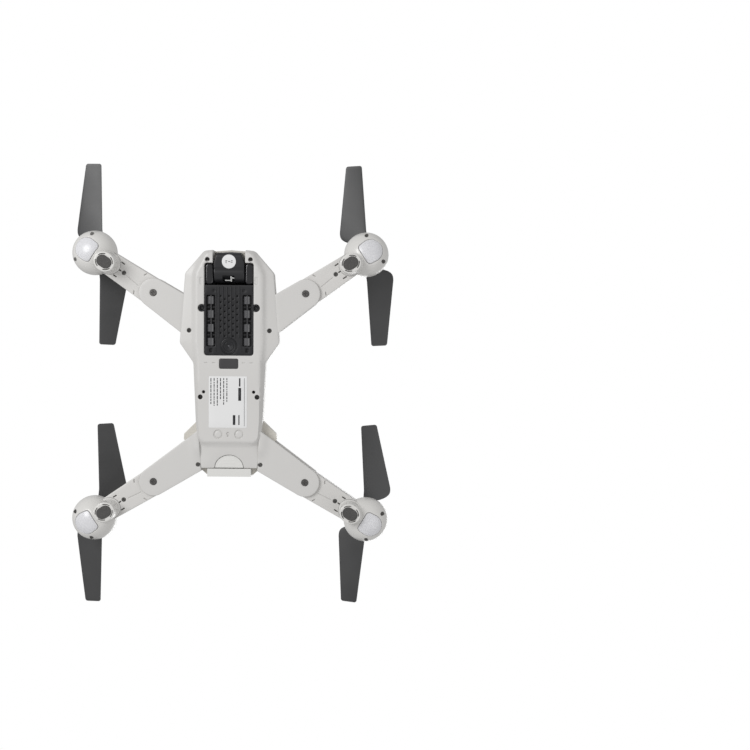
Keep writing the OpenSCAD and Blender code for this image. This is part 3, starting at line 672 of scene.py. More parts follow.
def backHeight(points):
    # With t the distance from the edge over the width, the level is shoulder + reach (1 - (1 - t)^2.3), scaled down
    # towards nose and tail. Beside the spine it sinks by 0.7, and over the camera a brow keeps it up
    points = np.asarray(points, float)
    toEdge = distanceTo(points, backOutline) * within(points, backOutline)
    t = np.clip(toEdge / back["width"], 0, 1)
    dome = 1 - (1 - t) ** 2.3
    nose = ease((points[:, 1] + 119) / 34)
    tail = ease((79 - points[:, 1]) / 22)
    reach = back["top"] - back["shoulder"]
    level = back["shoulder"] + reach * dome * (0.42 + 0.58 * nose) * (0.6 + 0.4 * tail)
    brow = 37.0 * ease((-109 - points[:, 1]) / 5) * ease((24 - np.abs(points[:, 0])) / 5)
    level = np.maximum(level, brow)
    spine = ease((9 - np.abs(points[:, 0])) / 2.0) * ease((points[:, 1] + 86) / 6) * ease((58 - points[:, 1]) / 6)
    return np.minimum(level - 0.7 * (1 - spine) * ease(t * 3 - 2), back["top"])


def makeUpperShell():
    shape = Shape()
    holes = [opening(circleLoop(0, back["buttonY"], back["buttonHole"], 40), back["buttonSink"], 0.5)]
    # vents behind the nose and along the spine, and the panel line of the battery hatch
    for side in (-1, 1):
        for k in range(5):
            holes.append(pocket(rectLoop(side * 17.5, -70 + 5 * k, 9, 1.6, 0.8, side * 0.35), 1.1, 0.2))
        holes.append(pocket(rectLoop(side * 13.2, 12, 0.6, 62, 0.3), 0.6, 0.12))
    holes.append(pocket(rectLoop(0, -20, 24, 0.6, 0.3), 0.6, 0.12))
    rim = (flatAt(back["seam"]), 0)
    skin(shape, backOutline, above(backHeight), holes, spacing=1.9, lip=0.8, edge=rim)
    lift = above(lambda points: backHeight(points) - back["wall"])
    addRim(shape, backOutline, backHollow, back["seam"])
    shape.addRings([flatAt(back["seam"])(backHollow, None), lift(backHollow, 0)])
    loop = counterclockwise(holes[0][0])
    loops = [backHollow, loop]
    vertices, faces = triangulated(loops, fieldPoints(loops, 4.0))
    shape.add(lift(vertices, 0), faces)
    shape.addRings([above(backHeight)(loop, np.full(len(loop), back["buttonSink"])), lift(loop, 0)])
    # the upper shell's cream colour is painted shade on the same plastic as the lower shell
    piece = finishMesh("upperShell", shape, paint["shadeTintedShell"], "root", "upper_shell", "shell_cream", 45)
    # nose mouth for the camera's swing, and the tail opening that the battery slides through
    mouth = back["mouthHalf"]
    cut(piece, [boxCutter(mouth, -125, -99.5, 20, 34.6),
                lathe(Shape(), [(14.6, -mouth), (14.6, mouth)], back["tilt"], 64, "x"),
                boxCutter(back["batteryHalf"], 66, 90, 10, 38.4)])


def boxCutter(half, y0, y1, z0, z1):
    # Box across the middle of the body
    shape = Shape()
    corners = np.array([(-half, y0), (half, y0), (half, y1), (-half, y1)], float)
    shape.addRings([np.column_stack([corners, np.full(4, float(z))]) for z in (z0, z1)], (True, True))
    return shape


def cut(piece, cutters):
    # Takes the cutters out of the piece and keeps the result as its own mesh
    helpers = []
    for i, shape in enumerate(cutters):
        mesh = bpy.data.meshes.new("cutter")
        mesh.from_pydata((np.vstack(shape.points) * mm).tolist(), [], shape.faces)
        work = bmesh.new()
        work.from_mesh(mesh)
        bmesh.ops.recalc_face_normals(work, faces=work.faces)
        work.to_mesh(mesh)
        work.free()
        helper = bpy.data.objects.new("cutter", mesh)
        bpy.context.scene.collection.objects.link(helper)
        modifier = piece.modifiers.new("cut" + str(i), "BOOLEAN")
        modifier.operation = "DIFFERENCE"
        modifier.solver = "EXACT"
        modifier.object = helper
        helpers.append(helper)
    bpy.context.view_layer.update()
    result = bpy.data.meshes.new_from_object(piece.evaluated_get(bpy.context.evaluated_depsgraph_get()))
    piece.modifiers.clear()
    piece.data = result
    work = bmesh.new()
    work.from_mesh(result)
    closeCracks(work)
    work.to_mesh(result)
    work.free()
    result.set_sharp_from_angle(angle=math.radians(45))
    for helper in helpers:
        bpy.data.objects.remove(helper)


makeUpperShell()
print("stage: upper shell")

roots = {
    "radius": 12.5, "low": 17.0, "slotLow": 19.4, "slotHigh": 30.6, "high": 33.0, "clear": 13.7,
    "front": {"inner": [(39.1, -79.9), (41.6, -46.3)], "fold": 123.4, "turn": -1},
    "rear": {"inner": [(26.2, 37.3), (24.4, 73.2)], "fold": 135.5, "turn": 1},
}

rootScrew = {"x": 27.1, "y": 67.7, "radius": 1.65, "low": 17.55, "high": 18.6}


def rootOutline(pair):
    # Convex outline around the pivot's round end and the two corners on the body
    pivot = jointPlace(pair + "_left_fold")[:2]
    return hullLoop(np.vstack([circleLoop(*pivot, roots["radius"], 72), np.array(roots[pair]["inner"])]))


def webOutline(pair):
    # The part of the root that the folding arm never reaches: bounded by its swing circle and its folded side
    pivot = jointPlace(pair + "_left_fold")[:2]
    rotor = jointPlace(pair + "_left_spin")[:2]
    inward = (pivot - rotor) / np.linalg.norm(pivot - rotor)
    turn = roots[pair]["turn"]
    sideways = np.array([-inward[1], inward[0]]) * turn
    # local frame: x inwards along the arm, y towards the side that the arm folds to
    folded = math.radians(180 - roots[pair]["fold"])
    clear = roots["clear"]
    arc = np.linspace(math.radians(-64), folded - math.pi / 2, 8)
    local = [(clear * math.cos(a), clear * math.sin(a)) for a in arc]
    tangent = np.array(local[-1])
    along = np.array([math.cos(folded), math.sin(folded)])
    reach = (roots["radius"] + 1.0 - tangent[1]) / along[1]
    local.append(tuple(tangent + along * reach))
    points = [pivot + inward * x + sideways * y for x, y in local]
    inner = sorted((np.array(p) for p in roots[pair]["inner"]), key=lambda p: -float((p - pivot) @ sideways))
    return rounded([(p[0], p[1], 0.0) for p in points + inner], 2.5)


def makeArmRoots(pair):
    shape = Shape()
    outline = rootOutline(pair)
    pivot = jointPlace(pair + "_left_fold")[:2]

    def lowFace(points):
        # Flat plate; behind the body's edge the rear pair swells down to meet the belly
        if pair == "front":
            return np.full(len(points), roots["low"])
        near = distanceTo(np.abs(points) * [1, 0] + points * [0, 1], bodyOutline)
        return roots["low"] - 3.0 * ease(1 - near / 9.0) * ease((66 - points[:, 1]) / 14)

    for flip in (1, -1):
        plan = outline if flip > 0 else mirrored(outline)
        screw = circleLoop(flip * pivot[0], pivot[1], 3.05, 32)
        pin = [pocket(screw, 1.3, 0.3)]
        if pair == "rear":
            pin.append(pocket(circleLoop(flip * rootScrew["x"], rootScrew["y"], 1.9, 24), 1.2, 0.25))
        moulded(shape, plan, lowFace, roots["slotLow"], 0.7, 2.2, lowHoles=pin)
        moulded(shape, plan, roots["slotHigh"], roots["high"], 0.7, 3.5)
        web = webOutline(pair)
        web = web if flip > 0 else mirrored(web)
        moulded(shape, web, roots["slotLow"] - 0.3, roots["slotHigh"] + 0.3, 0.3, 4.0)
    finishMesh(pair + "ArmRoots", shape, paint["shell"], "root", pair + "_arm_roots", "shell_grey")


def makeRootScrews():
    # Slotted heads sunk in the rear roots
    shape = Shape()
    for side in (-1, 1):
        x, y = side * rootScrew["x"], rootScrew["y"]
        moulded(shape, circleLoop(x, y, rootScrew["radius"], 24), rootScrew["low"], rootScrew["high"], 0.3, 2.0,
                lowHoles=[pocket(rectLoop(x, y, 0.5, 2.1, 0.1, side * 0.6), 0.5, 0.05)])
    finishMesh("rootScrews", shape, paint["screw"], "root", None, "screw_steel")


for pairName in ("front", "rear"):
    makeArmRoots(pairName)
makeRootScrews()
print("stage: arm roots")

# The folding arm is built once along +X from its pivot, then placed four times.
armDims = {
    "length": float(np.linalg.norm((jointPlace("front_left_spin") - jointPlace("front_left_fold"))[:2])),
    "low": 19.6, "high": 30.4, "rootRadius": 12.1, "podRadius": 19.3, "podLevel": 26.0, "footBack": 15.5,
}


def armShape():
    # Plate with a round root, its slots and screw hole underneath, and the turned rim that carries the motor
    shape = Shape()
    length = armDims["length"]
    outline = hullLoop(np.vstack([circleLoop(0, 0, armDims["rootRadius"], 72),
                                  np.array([(-5.3, 11.8), (length - 14, 10.1), (length - 14, -10.1)])]))
    holes = [pocket(circleLoop(length - 31.4, 0, 1.95, 24), 1.4, 0.3),
             pocket(rectLoop(length - 41.5, 1.5, 13.0, 0.45, 0.2, -0.11), 0.45, 0.12)]
    for s in (-1, 0, 1):
        holes.append(pocket(rectLoop(length - 26.9 + abs(s) * 0.6, s * 6.6, 3.8, 1.15, 0.5), 4.0, 0.12))
        if s:
            holes.append(pocket(rectLoop(14.6, s * 9.2, 0.8, 3.0, 0.3, s * 0.5), 1.2, 0.1))
    moulded(shape, outline, armDims["low"], armDims["high"], 0.9, 2.2, lowHoles=holes)
    r, z = armDims["podRadius"], armDims["podLevel"]
    return lathe(shape, [
        (0.05, z + 0.4), (r - 3, z + 0.4), (r - 0.6, z + 0.25), (r - 0.05, z + 0.4), (r, z + 0.9), (r - 0.2, z + 3),
        (r - 0.7, z + 5), (r - 1.7, z + 7), (r - 2.7, z + 8.1), (r - 3.8, z + 8.45), (r - 8, z + 8.5),
        (3.2, z + 8.5), (0.05, z + 8.5)], (length, 0), 96)


def bowlLift(points, depth):
    # Plan distance becomes arc length from the bowl's lowest point, so the mesh stays even over the half sphere
    points = np.asarray(points, float)
    r = armDims["podRadius"]
    flat = np.linalg.norm(points, axis=1)
    turn = flat / r
    out = np.where(flat > 1e-9, np.sin(turn) * (r - depth) / np.maximum(flat, 1e-9), 1.0)
    return np.column_stack([points[:, 0] * out + armDims["length"], points[:, 1] * out,
                            armDims["podLevel"] - np.cos(turn) * (r - depth)])


def onBowl(loop):
    # Outline drawn in plan over the bowl, turned into the bowl's arc-length plan
    r = armDims["podRadius"]
    flat = np.linalg.norm(loop, axis=1)
    return loop * (r * np.arcsin(np.clip(flat / r, 0, 1)) / np.maximum(flat, 1e-9))[:, None]


lamp = {"radius": 10.2, "x": 5.2, "flat": -3.5, "proud": 0.15, "depth": 1.6, "gap": 0.35}


def lampLoop(shrink=0.0):
    # D outline: round towards the tip of the arm, straight towards its root
    radius = lamp["radius"] - shrink
    arc = [(lamp["x"] + radius * math.cos(a), radius * math.sin(a), 0.0) for a in np.linspace(-1.75, 1.75, 25)]
    flat = lamp["flat"] + shrink
    return rounded(arc + [(flat, radius * 0.93, 3.4), (flat, -radius * 0.93, 3.4)], 1.2)


def podShape():
    # Half sphere with the lamp's pocket and two screw holes; its lip turns in under the arm's rim
    shape = Shape()
    r = armDims["podRadius"]
    rim = circleLoop(0, 0, r * math.pi / 2, 120)
    holes = [pocket(onBowl(counterclockwise(lampLoop())), lamp["depth"], 0.35)]
    for s in (-1, 1):
        a = s * math.radians(56)
        holes.append(pocket(onBowl(circleLoop(16.2 * math.cos(a), 16.2 * math.sin(a), 1.7, 24)), 2.2, 0.3))
    skin(shape, rim, bowlLift, holes, spacing=1.5, lip=0.3, edge=(bowlLift, 1.5))
    shape.addRings([bowlLift(rim, np.full(len(rim), 1.5)), bowlLift(circleLoop(0, 0, 0.5, 120), np.full(120, 1.5))])
    return shape


leg = {"long": 9.2, "wide": 8.3, "level": 0.8, "flare": 1.3, "top": 19.0}


def legShape():
    # Tapered oval column (x0 + g long cos a, g wide sin a), g from 1 to 1.05. Its end is rounded and has the pad's
    # pocket and four slots, and its wall flares by a quarter-round into the bowl and the arm above it
    shape = Shape()
    x0 = armDims["length"] - armDims["footBack"]
    long, wide, level, flare = leg["long"], leg["wide"], leg["level"], leg["flare"]
    tip = circleLoop(x0, 0, wide, 96, long / wide)
    holes = [pocket(rectLoop(x0, 0, 13.3, 9.9, 4.9, 0.0, 0.8), 0.75, 0.15)]
    for k in range(4):
        a0 = math.radians(45 + 90 * k)
        arc = np.linspace(a0 - 0.45, a0 + 0.45, 9)
        outer = [(x0 + 8.0 * math.cos(a), 6.9 * math.sin(a), 0) for a in arc]
        inner = [(x0 + 7.2 * math.cos(a), 6.1 * math.sin(a), 0) for a in arc[::-1]]
        holes.append(pocket(rounded(outer + inner, 0.8), 5.0, 0.06))
    skin(shape, tip, below(level), holes, spacing=1.1, lip=0.9)
    rings = [below(level)(counterclockwise(tip), np.full(96, 0.9))]
    a = np.arange(96) * 2 * math.pi / 96
    x, y = long * np.cos(a), wide * np.sin(a)

    def surface(px, py):
        r = armDims["podRadius"]
        flat = np.hypot(px - armDims["length"], py)
        bowl = armDims["podLevel"] - np.sqrt(np.maximum(r * r - flat * flat, 0))
        return np.where(np.abs(py) < 10.4, np.minimum(bowl, armDims["low"]), bowl)

    top = surface(x0 + x * 1.18, y * 1.18)
    for t in np.linspace(0.08, 1, 9):
        grow = 1 + 0.05 * t
        rings.append(np.column_stack([x0 + x * grow, y * grow, 1.7 + (top - flare - 1.7) * t]))
    for turn in np.radians([18, 36, 54, 72, 90]):
        grow = 1.05 + flare / 8.6 * (1 - math.cos(turn))
        px, py = x0 + x * grow, y * grow
        rings.append(np.column_stack([px, py, surface(px, py) - flare * (1 - math.sin(turn))]))
    rings.append(np.column_stack([x0 + x * 0.4, y * 0.4, np.full(96, leg["top"])]))
    shape.addRings(rings, (False, True))
    return shape


def lampShape():
    # Domed diffuser a hair proud of the bowl, with a rolled edge
    shape = Shape()

    def lift(points, depth):
        return bowlLift(points, np.asarray(depth) - lamp["proud"])
    outline = counterclockwise(onBowl(counterclockwise(lampLoop(lamp["gap"]))))
    skin(shape, outline, lift, spacing=1.3, lip=0.8, lipSteps=6, edge=(lift, lamp["depth"]))
    centre = outline.mean(0)
    deep = np.full(len(outline), lamp["depth"])
    shape.addRings([lift(outline, deep), lift(centre + (outline - centre) * 0.05, deep)], (False, True))
    return shape


def footShape():
    # Oval pad with rounded rims
    shape = Shape()
    x0 = armDims["length"] - armDims["footBack"]
    moulded(shape, rectLoop(x0, 0, 13.1, 9.7, 4.8, 0.0, 0.8), 0.0, 1.5, 0.4, 1.6)
    return shape


def armPlacer(corner):
    # Puts arm-frame points at this corner; the -X side is a mirror image
    pivot, rotor = jointPlace(corner + "_fold")[:2], jointPlace(corner + "_spin")[:2]
    along = (rotor - pivot) / np.linalg.norm(rotor - pivot)
    sideways = np.array([-along[1], along[0]]) * (1 if pivot[0] > 0 else -1)

    def place(points):
        plan = pivot + points[:, :1] * along + points[:, 1:2] * sideways
        return np.column_stack([plan, points[:, 2]])
    return place


# piece: its shape, its material, the end of the CAD node it replaces, and its slot
armPieces = {
    "arm": (armShape(), "arm", "_arm", "shell_grey"),
    "podBowl": (podShape(), "pod", "_pod", "shell_grey"),
    "leg": (legShape(), "pod", None, "shell_grey"),
    "lamp": (lampShape(), "lamp", "_lamp", "lamp_frosted"),
    "footPad": (footShape(), "rubber", "_foot", "pad_rubber"),
}
for corner in cornerNames:
    place = armPlacer(corner)
    for pieceName, (shape, paintName, ending, slotName) in armPieces.items():
        finishMesh(corner + "." + pieceName, shape.moved(place), paint[paintName], corner + "_arm",
                   ending and corner + ending, slotName)
print("stage: arms")

bladeDims = {
    "reach": 80.0, "pin": 6.5, "level": 51.0, "shoulder": 11.3, "wideAt": 22.0, "wide": 23.1, "neck": 3.4,
    "rootPitch": 18.0, "tipPitch": 9.0,
    # rest swing of blades a and b, and handedness, at each corner
    "rest": {"front_left": (0, 0, 1), "front_right": (0, 1.5, 1),
             "rear_left": (-5, 5, -1), "rear_right": (-1.4, 1.4, -1)},
}


def bladeEdges(r):
    # Leading edge: a shoulder neck + (wide - neck) (1 - (1 - t)^3.2)^0.42 up to full width, then a straight taper.
    # The trailing edge is nearly straight, and both round in at the tip
    d = bladeDims
    swell = np.clip((r - d["shoulder"]) / (d["wideAt"] - d["shoulder"]), 0, 1)
    rise = d["neck"] + (d["wide"] - d["neck"]) * (1 - (1 - swell) ** 3.2) ** 0.42
    lead = np.where(r < d["wideAt"], rise, d["wide"] - (r - d["wideAt"]) * 8.1 / 59)
    inner = (np.clip(r - d["pin"], 0, None) / (d["wideAt"] - d["pin"])) ** 0.8
    trail = np.where(r < d["wideAt"], -d["neck"] + (d["neck"] - 0.6) * inner, -0.6 + (r - d["wideAt"]) * 1.8 / 59)
    over = np.clip((r - (d["reach"] - 2.0)) / 2.0, 0, 1)
    pull = 2.0 * (1 - np.sqrt(np.clip(1 - over ** 2, 0, 1)))
    return lead - pull, trail + pull


def bladeShape():
    # Thin lens sections at each radius r: height x tan(pitch) plus or minus thick sqrt(u (1 - u)) across the chord
    d = bladeDims
    stations = np.concatenate([[11, 11.3, 11.34, 11.45, 11.65, 11.95, 12.4, 13.0], np.linspace(13.8, 77.5, 46),
                               d["reach"] - 2.0 * (1 - np.sin(np.linspace(0, np.pi / 2, 8)))])
    stations = np.unique(np.clip(stations, 11, d["reach"] - 0.02))
    steps = (1 - np.cos(np.linspace(0, np.pi, 21))) / 2
    rings = []
    for r in stations:
        lead, trail = (float(v) for v in bladeEdges(np.array(r)))
        share = (r - d["pin"]) / (d["reach"] - d["pin"])
        slope = math.tan(math.radians(d["rootPitch"] + (d["tipPitch"] - d["rootPitch"]) * share))
        thick = (1.1 - 0.65 * share) * (1 - 0.5 * ease((r - d["reach"] + 2) / 2))
        x = lead + (trail - lead) * steps
        bulge = np.sqrt(np.clip(steps * (1 - steps), 0, None))
        upper = np.column_stack([-x, np.full(21, -r), x * slope + thick * 2 * bulge + 0.06])
        lower = np.column_stack([-x, np.full(21, -r), x * slope - thick * 1.4 * bulge - 0.06])
        rings.append(np.vstack([upper, lower[::-1]]))
    shape = Shape()
    shape.addRings(rings, (True, True))
    # eye that turns on the hub's pin, and the flat neck
    lathe(shape, [(1.06, -1.1), (1.3, -1.38), (3.2, -1.4), (3.6, -1.1), (3.6, 1.1), (3.2, 1.4), (1.3, 1.38),
                  (1.06, 1.1)], (0, -d["pin"]), 40)
    neck = rounded([(3.4, -8.4, 0), (3.4, -11.8, 0.2), (-3.4, -11.8, 0.2), (-3.4, -8.4, 0)])
    moulded(shape, neck, -1.1, 1.1, 0.25, 2.0)
    return shape


def turned(points, degrees, centreY=0):
    # Turned around the vertical through (0, centreY)
    a = math.radians(degrees)
    x, y = points[:, 0], points[:, 1] - centreY
    return np.column_stack([x * math.cos(a) - y * math.sin(a), centreY + x * math.sin(a) + y * math.cos(a),
                            points[:, 2]])


blade = bladeShape()
for corner in cornerNames:
    swingA, swingB, hand = bladeDims["rest"][corner]
    axis = jointPlace(corner + "_spin")
    for letter, swing in (("a", swingA), ("b", swingB)):
        pin = jointPlace(corner + "_blade_" + letter + "_fold")
        # the pin lies straight ahead (-Y) of the axis in the blade's own frame
        heading = math.degrees(math.atan2(pin[0] - axis[0], -(pin[1] - axis[1])))

        def placeBlade(points):
            points = points * [hand, 1, 1]
            points = turned(points, swing, -bladeDims["pin"])
            points = turned(points, heading)
            return points + [axis[0], axis[1], bladeDims["level"]]
        bladeName = corner + "_blade_" + letter
        finishMesh(corner + ".blade." + letter, blade.moved(placeBlade), paint["blade"], bladeName, bladeName,
                   "blade_plastic", 30)
print("stage: blades")

# The tray carries the camera, with the dampers in its side wells.
tray = {
    "level": 13.2, "back": 18.6, "front": -87.9, "rear": -27.2, "half": 21.0,
    "pitch": 3.56, "firstRow": -78.4, "rowStep": 5.3, "lastRow": -42, "railX": 15.6,
}
flowLens = {"y": -35.2, "tint": (0.01, 0.01, 0.02)}


def makeTray():
    # Flat face with its ears, the staggered sound holes, a well at each side for the dampers, and the lens hole
    shape = Shape()
    lugX, lugY, lugR = trayLugs
    half = [(tray["half"], tray["front"], 0.6)]
    turns = np.radians(np.linspace(-120, 120, 17))
    half += [(lugX - 0.2 + (lugR - 0.25) * math.cos(a), lugY + (lugR - 0.25) * math.sin(a), 0) for a in turns]
    half += [(tray["half"], tray["rear"], 2.3)]
    outline = rounded(half + [(-x, y, r) for x, y, r in half[::-1]], 1.5)
    holes = []
    for column in range(-2, 3):
        for row in range(7):
            y = tray["firstRow"] + tray["rowStep"] * row + (2.65 if abs(column) == 1 else 0)
            if y < tray["lastRow"]:
                holes.append(pocket(circleLoop(column * tray["pitch"], y, 0.72, 14), 3.0, 0.12))
    for s in (-1, 1):
        holes.append(pocket(circleLoop(s * 12.8, -83.1, 1.2, 20), 0.9, 0.15))
        holes.append(pocket(rectLoop(s * tray["railX"], -57.2, 7.6, 44.0, 0.8), 5.0, 0.25))
        holes.append(pocket(circleLoop(s * (lugX - 0.1), lugY, 1.9, 24), 3.5, 0.25))
        holes.append(pocket(rectLoop(s * tray["railX"], -31.6, 2.6, 3.4, 0.4), 2.0, 0.15))
    holes.append(pocket(circleLoop(0, flowLens["y"], 7.15, 48), 1.6, 0.2))
    face = below(tray["level"] + 0.3)
    skin(shape, outline, face, holes, spacing=2.0, lip=0.35, lipSteps=3, edge=(flatAt(tray["back"]), 0))
    closeBack(shape, outline, tray["back"], 0.2)
    finishMesh("cameraTray", shape, paint["tray"], "root", "camera_tray", "black_plastic", 50)
    # long ribs between the columns of holes, and a raised frame line on each side
    ribs = Shape()
    for column in range(-3, 3):
        moulded(ribs, rectLoop((column + 0.5) * tray["pitch"], -64.4, 1.15, 44.4, 0.3), tray["level"] - 0.25,
                tray["level"] + 0.8, 0.3, 6.0)
    for s in (-1, 1):
        moulded(ribs, rectLoop(s * 10.9, -58.4, 0.6, 56.0, 0.2), tray["level"] - 0.05, tray["level"] + 0.8,
                0.2, 6.0)
        moulded(ribs, circleLoop(s * (lugX - 0.1), lugY, 1.65, 24), 14.9, 16.4, 0.3, 2.0,
                lowHoles=[pocket(rectLoop(s * (lugX - 0.1), lugY, 0.42, 1.9, 0.1, 0.5), 0.6, 0.05)])
    finishMesh("trayRibs", ribs, paint["tray"], "root", None, "black_plastic")
    rails = Shape()
    for s in (-1, 1):
        lathe(rails, [(1.3, -79.4), (1.3, -34.2)], (s * tray["railX"], 15.6), 20, "y")
        for k in range(3):
            y = -74.8 + 11.9 * k + 5.95
            moulded(rails, rectLoop(s * tray["railX"], y, 7.0, 1.6, 0.3), 16.2, 18.0, 0.2, 2.0)
    finishMesh("damperRails", rails, paint["glossBlack"], "root", None, "black_plastic")


def makeFlowLens():
    # Stepped bezel around a small dark pupil
    shape = Shape()
    z = tray["level"]
    lathe(shape, [(0.05, z + 1.5), (0.7, z + 1.5), (0.9, z + 1.2), (1.7, z + 1.1), (1.8, z + 0.8), (2.7, z + 0.7),
                  (2.8, z + 0.4), (3.8, z + 0.3), (3.9, z + 0.75), (4.6, z + 0.75), (4.7, z + 0.2), (5.7, z + 0.1),
                  (5.8, z + 0.5), (6.3, z + 0.5), (6.4, z + 0.05), (6.9, z + 0.15), (7.1, z + 0.5), (7.1, z + 3),
                  (0.05, z + 3)], (0, flowLens["y"]), 64)
    glass = lensGlass("flowGlass", flowLens["tint"], (0, flowLens["y"] * mm, z * mm))
    finishMesh("flowCameraLens", shape, paint["tray"], "root", "flow_camera_lens", "lens_black")
    pupil = Shape()
    lathe(pupil, [(0.05, z + 1.15), (0.5, z + 1.2), (0.85, z + 1.45), (0.85, z + 1.9), (0.05, z + 1.9)],
          (0, flowLens["y"]), 32)
    finishMesh("flowPupil", pupil, glass, "root", None, "lens_black")


window = {"y": -20.2, "width": 16.2, "length": 8.4, "corner": 1.5, "low": 12.25, "high": 14.0}


def makeWindow():
    # Rounded slab, a little sunk in the belly
    shape = Shape()
    outline = rectLoop(0, window["y"], window["width"], window["length"], window["corner"])
    moulded(shape, outline, window["low"], window["high"], 0.35, 2.0)
    finishMesh("bellySensorWindow", shape, paint["window"], "root", "belly_sensor_window", "lens_black")


makeTray()
makeFlowLens()
makeWindow()
print("stage: tray")

# The label is a film with generic printed bars.
label = {"x": -0.6, "y": 12.9, "width": 33.0, "length": 44.6, "level": 11.86, "thick": 0.14}


def makeLabel():
    # Thin slab, with bars printed along it: rows broken into random dashes, tall plain bars, and a thin rule
    film = Shape()
    moulded(film, rectLoop(label["x"], label["y"], label["width"], label["length"], 0.8), label["level"],
            label["level"] + label["thick"], 0.04, 6.0)
    finishMesh("ratingLabel", film, paint["paper"], "root", "rating_label", "label_white", 60)
    rng = np.random.default_rng(7)
    printed = Shape()
    low, high = label["y"] - label["length"] / 2 + 1.6, label["y"] + label["length"] / 2 - 1.6

    def bar(x, y0, y1, width):
        outline = rectLoop(x, (y0 + y1) / 2, width, y1 - y0, 0.0, 0.0, 40.0)
        moulded(printed, outline, label["level"] - 0.012, label["level"] + 0.02, 0.004, 60.0)
    for line in range(6):
        x = label["x"] - 14.6 + 2.75 * line
        end = low + (high - low) * rng.uniform(0.42, 0.62)
        y = low
        while y < end:
            length = rng.uniform(0.9, 3.4)
            if end - y > 0.4:
                bar(x, y, min(y + length, end), 0.8)
            y += length + rng.uniform(0.45, 0.8)
    tall = [(10.2, low, low + 7.2, 1.3), (10.2, low + 8.4, low + 19.5, 2.5), (14.2, low, high, 0.35),
            (5.4, high - 9.5, high - 1.0, 2.2), (9.6, high - 9.5, high - 1.0, 1.0)]
    for x, y0, y1, width in tall:
        bar(label["x"] + x, y0, y1, width)
    finishMesh("labelPrint", printed, paint["ink"], "root", None, "label_white", 60)


makeLabel()
print("stage: label")

camera = {
    "tiltY": -98.6, "tiltZ": 22.5, "barrel": 9.4, "high": 32.4, "noseRadius": 3.7, "noseStart": -112.0, "seam": 22,
    "lensY": -116.1, "lensZ": 22.1, "lensHole": 6.6, "stickerY": -108.0, "stickerRadius": 6.0,
    "half": [(10.4, -115.7, 0.9), (12.8, -107.6, 1.4), (13.05, -106.7, 0.6), (13.05, -101.2, 0.2),
             (13.05, -89.3, 0.4)],
    "glass": (0.008, 0.008, 0.014),
}


def caseSides(points):
    # how far the nose rounds in, R - sqrt(R^2 - d^2), and the half height of the round barrel, sqrt(r^2 - y^2)
    y, radius = points[:, 1], camera["noseRadius"]
    front = np.clip(camera["noseStart"] - y, 0, 3.6)
    reach = np.clip(np.abs(y - camera["tiltY"]), 0, camera["barrel"])
    return np.sqrt(np.maximum(radius ** 2 - front ** 2, 0)), np.sqrt(camera["barrel"] ** 2 - reach ** 2)


def caseBottom(points):
    # Block that drops slightly towards the nose, a crease, then the barrel's round belly
    nose, barrel = caseSides(points)
    y = points[:, 1]
    block = 12.0 + 0.05 * (y + 112) + camera["noseRadius"] - nose
    return np.where(y < -101.2, np.minimum(block, 20), camera["tiltZ"] - barrel)


def caseTop(points):
    # Flat block with a round nose, then the barrel's round back
    nose, barrel = caseSides(points)
    return np.where(points[:, 1] < -99.8, camera["high"] - camera["noseRadius"] + nose, camera["tiltZ"] + barrel)


def offsetFrom(height, distance):
    # the same face moved up or down by the distance
    return lambda points: height(points) + distance


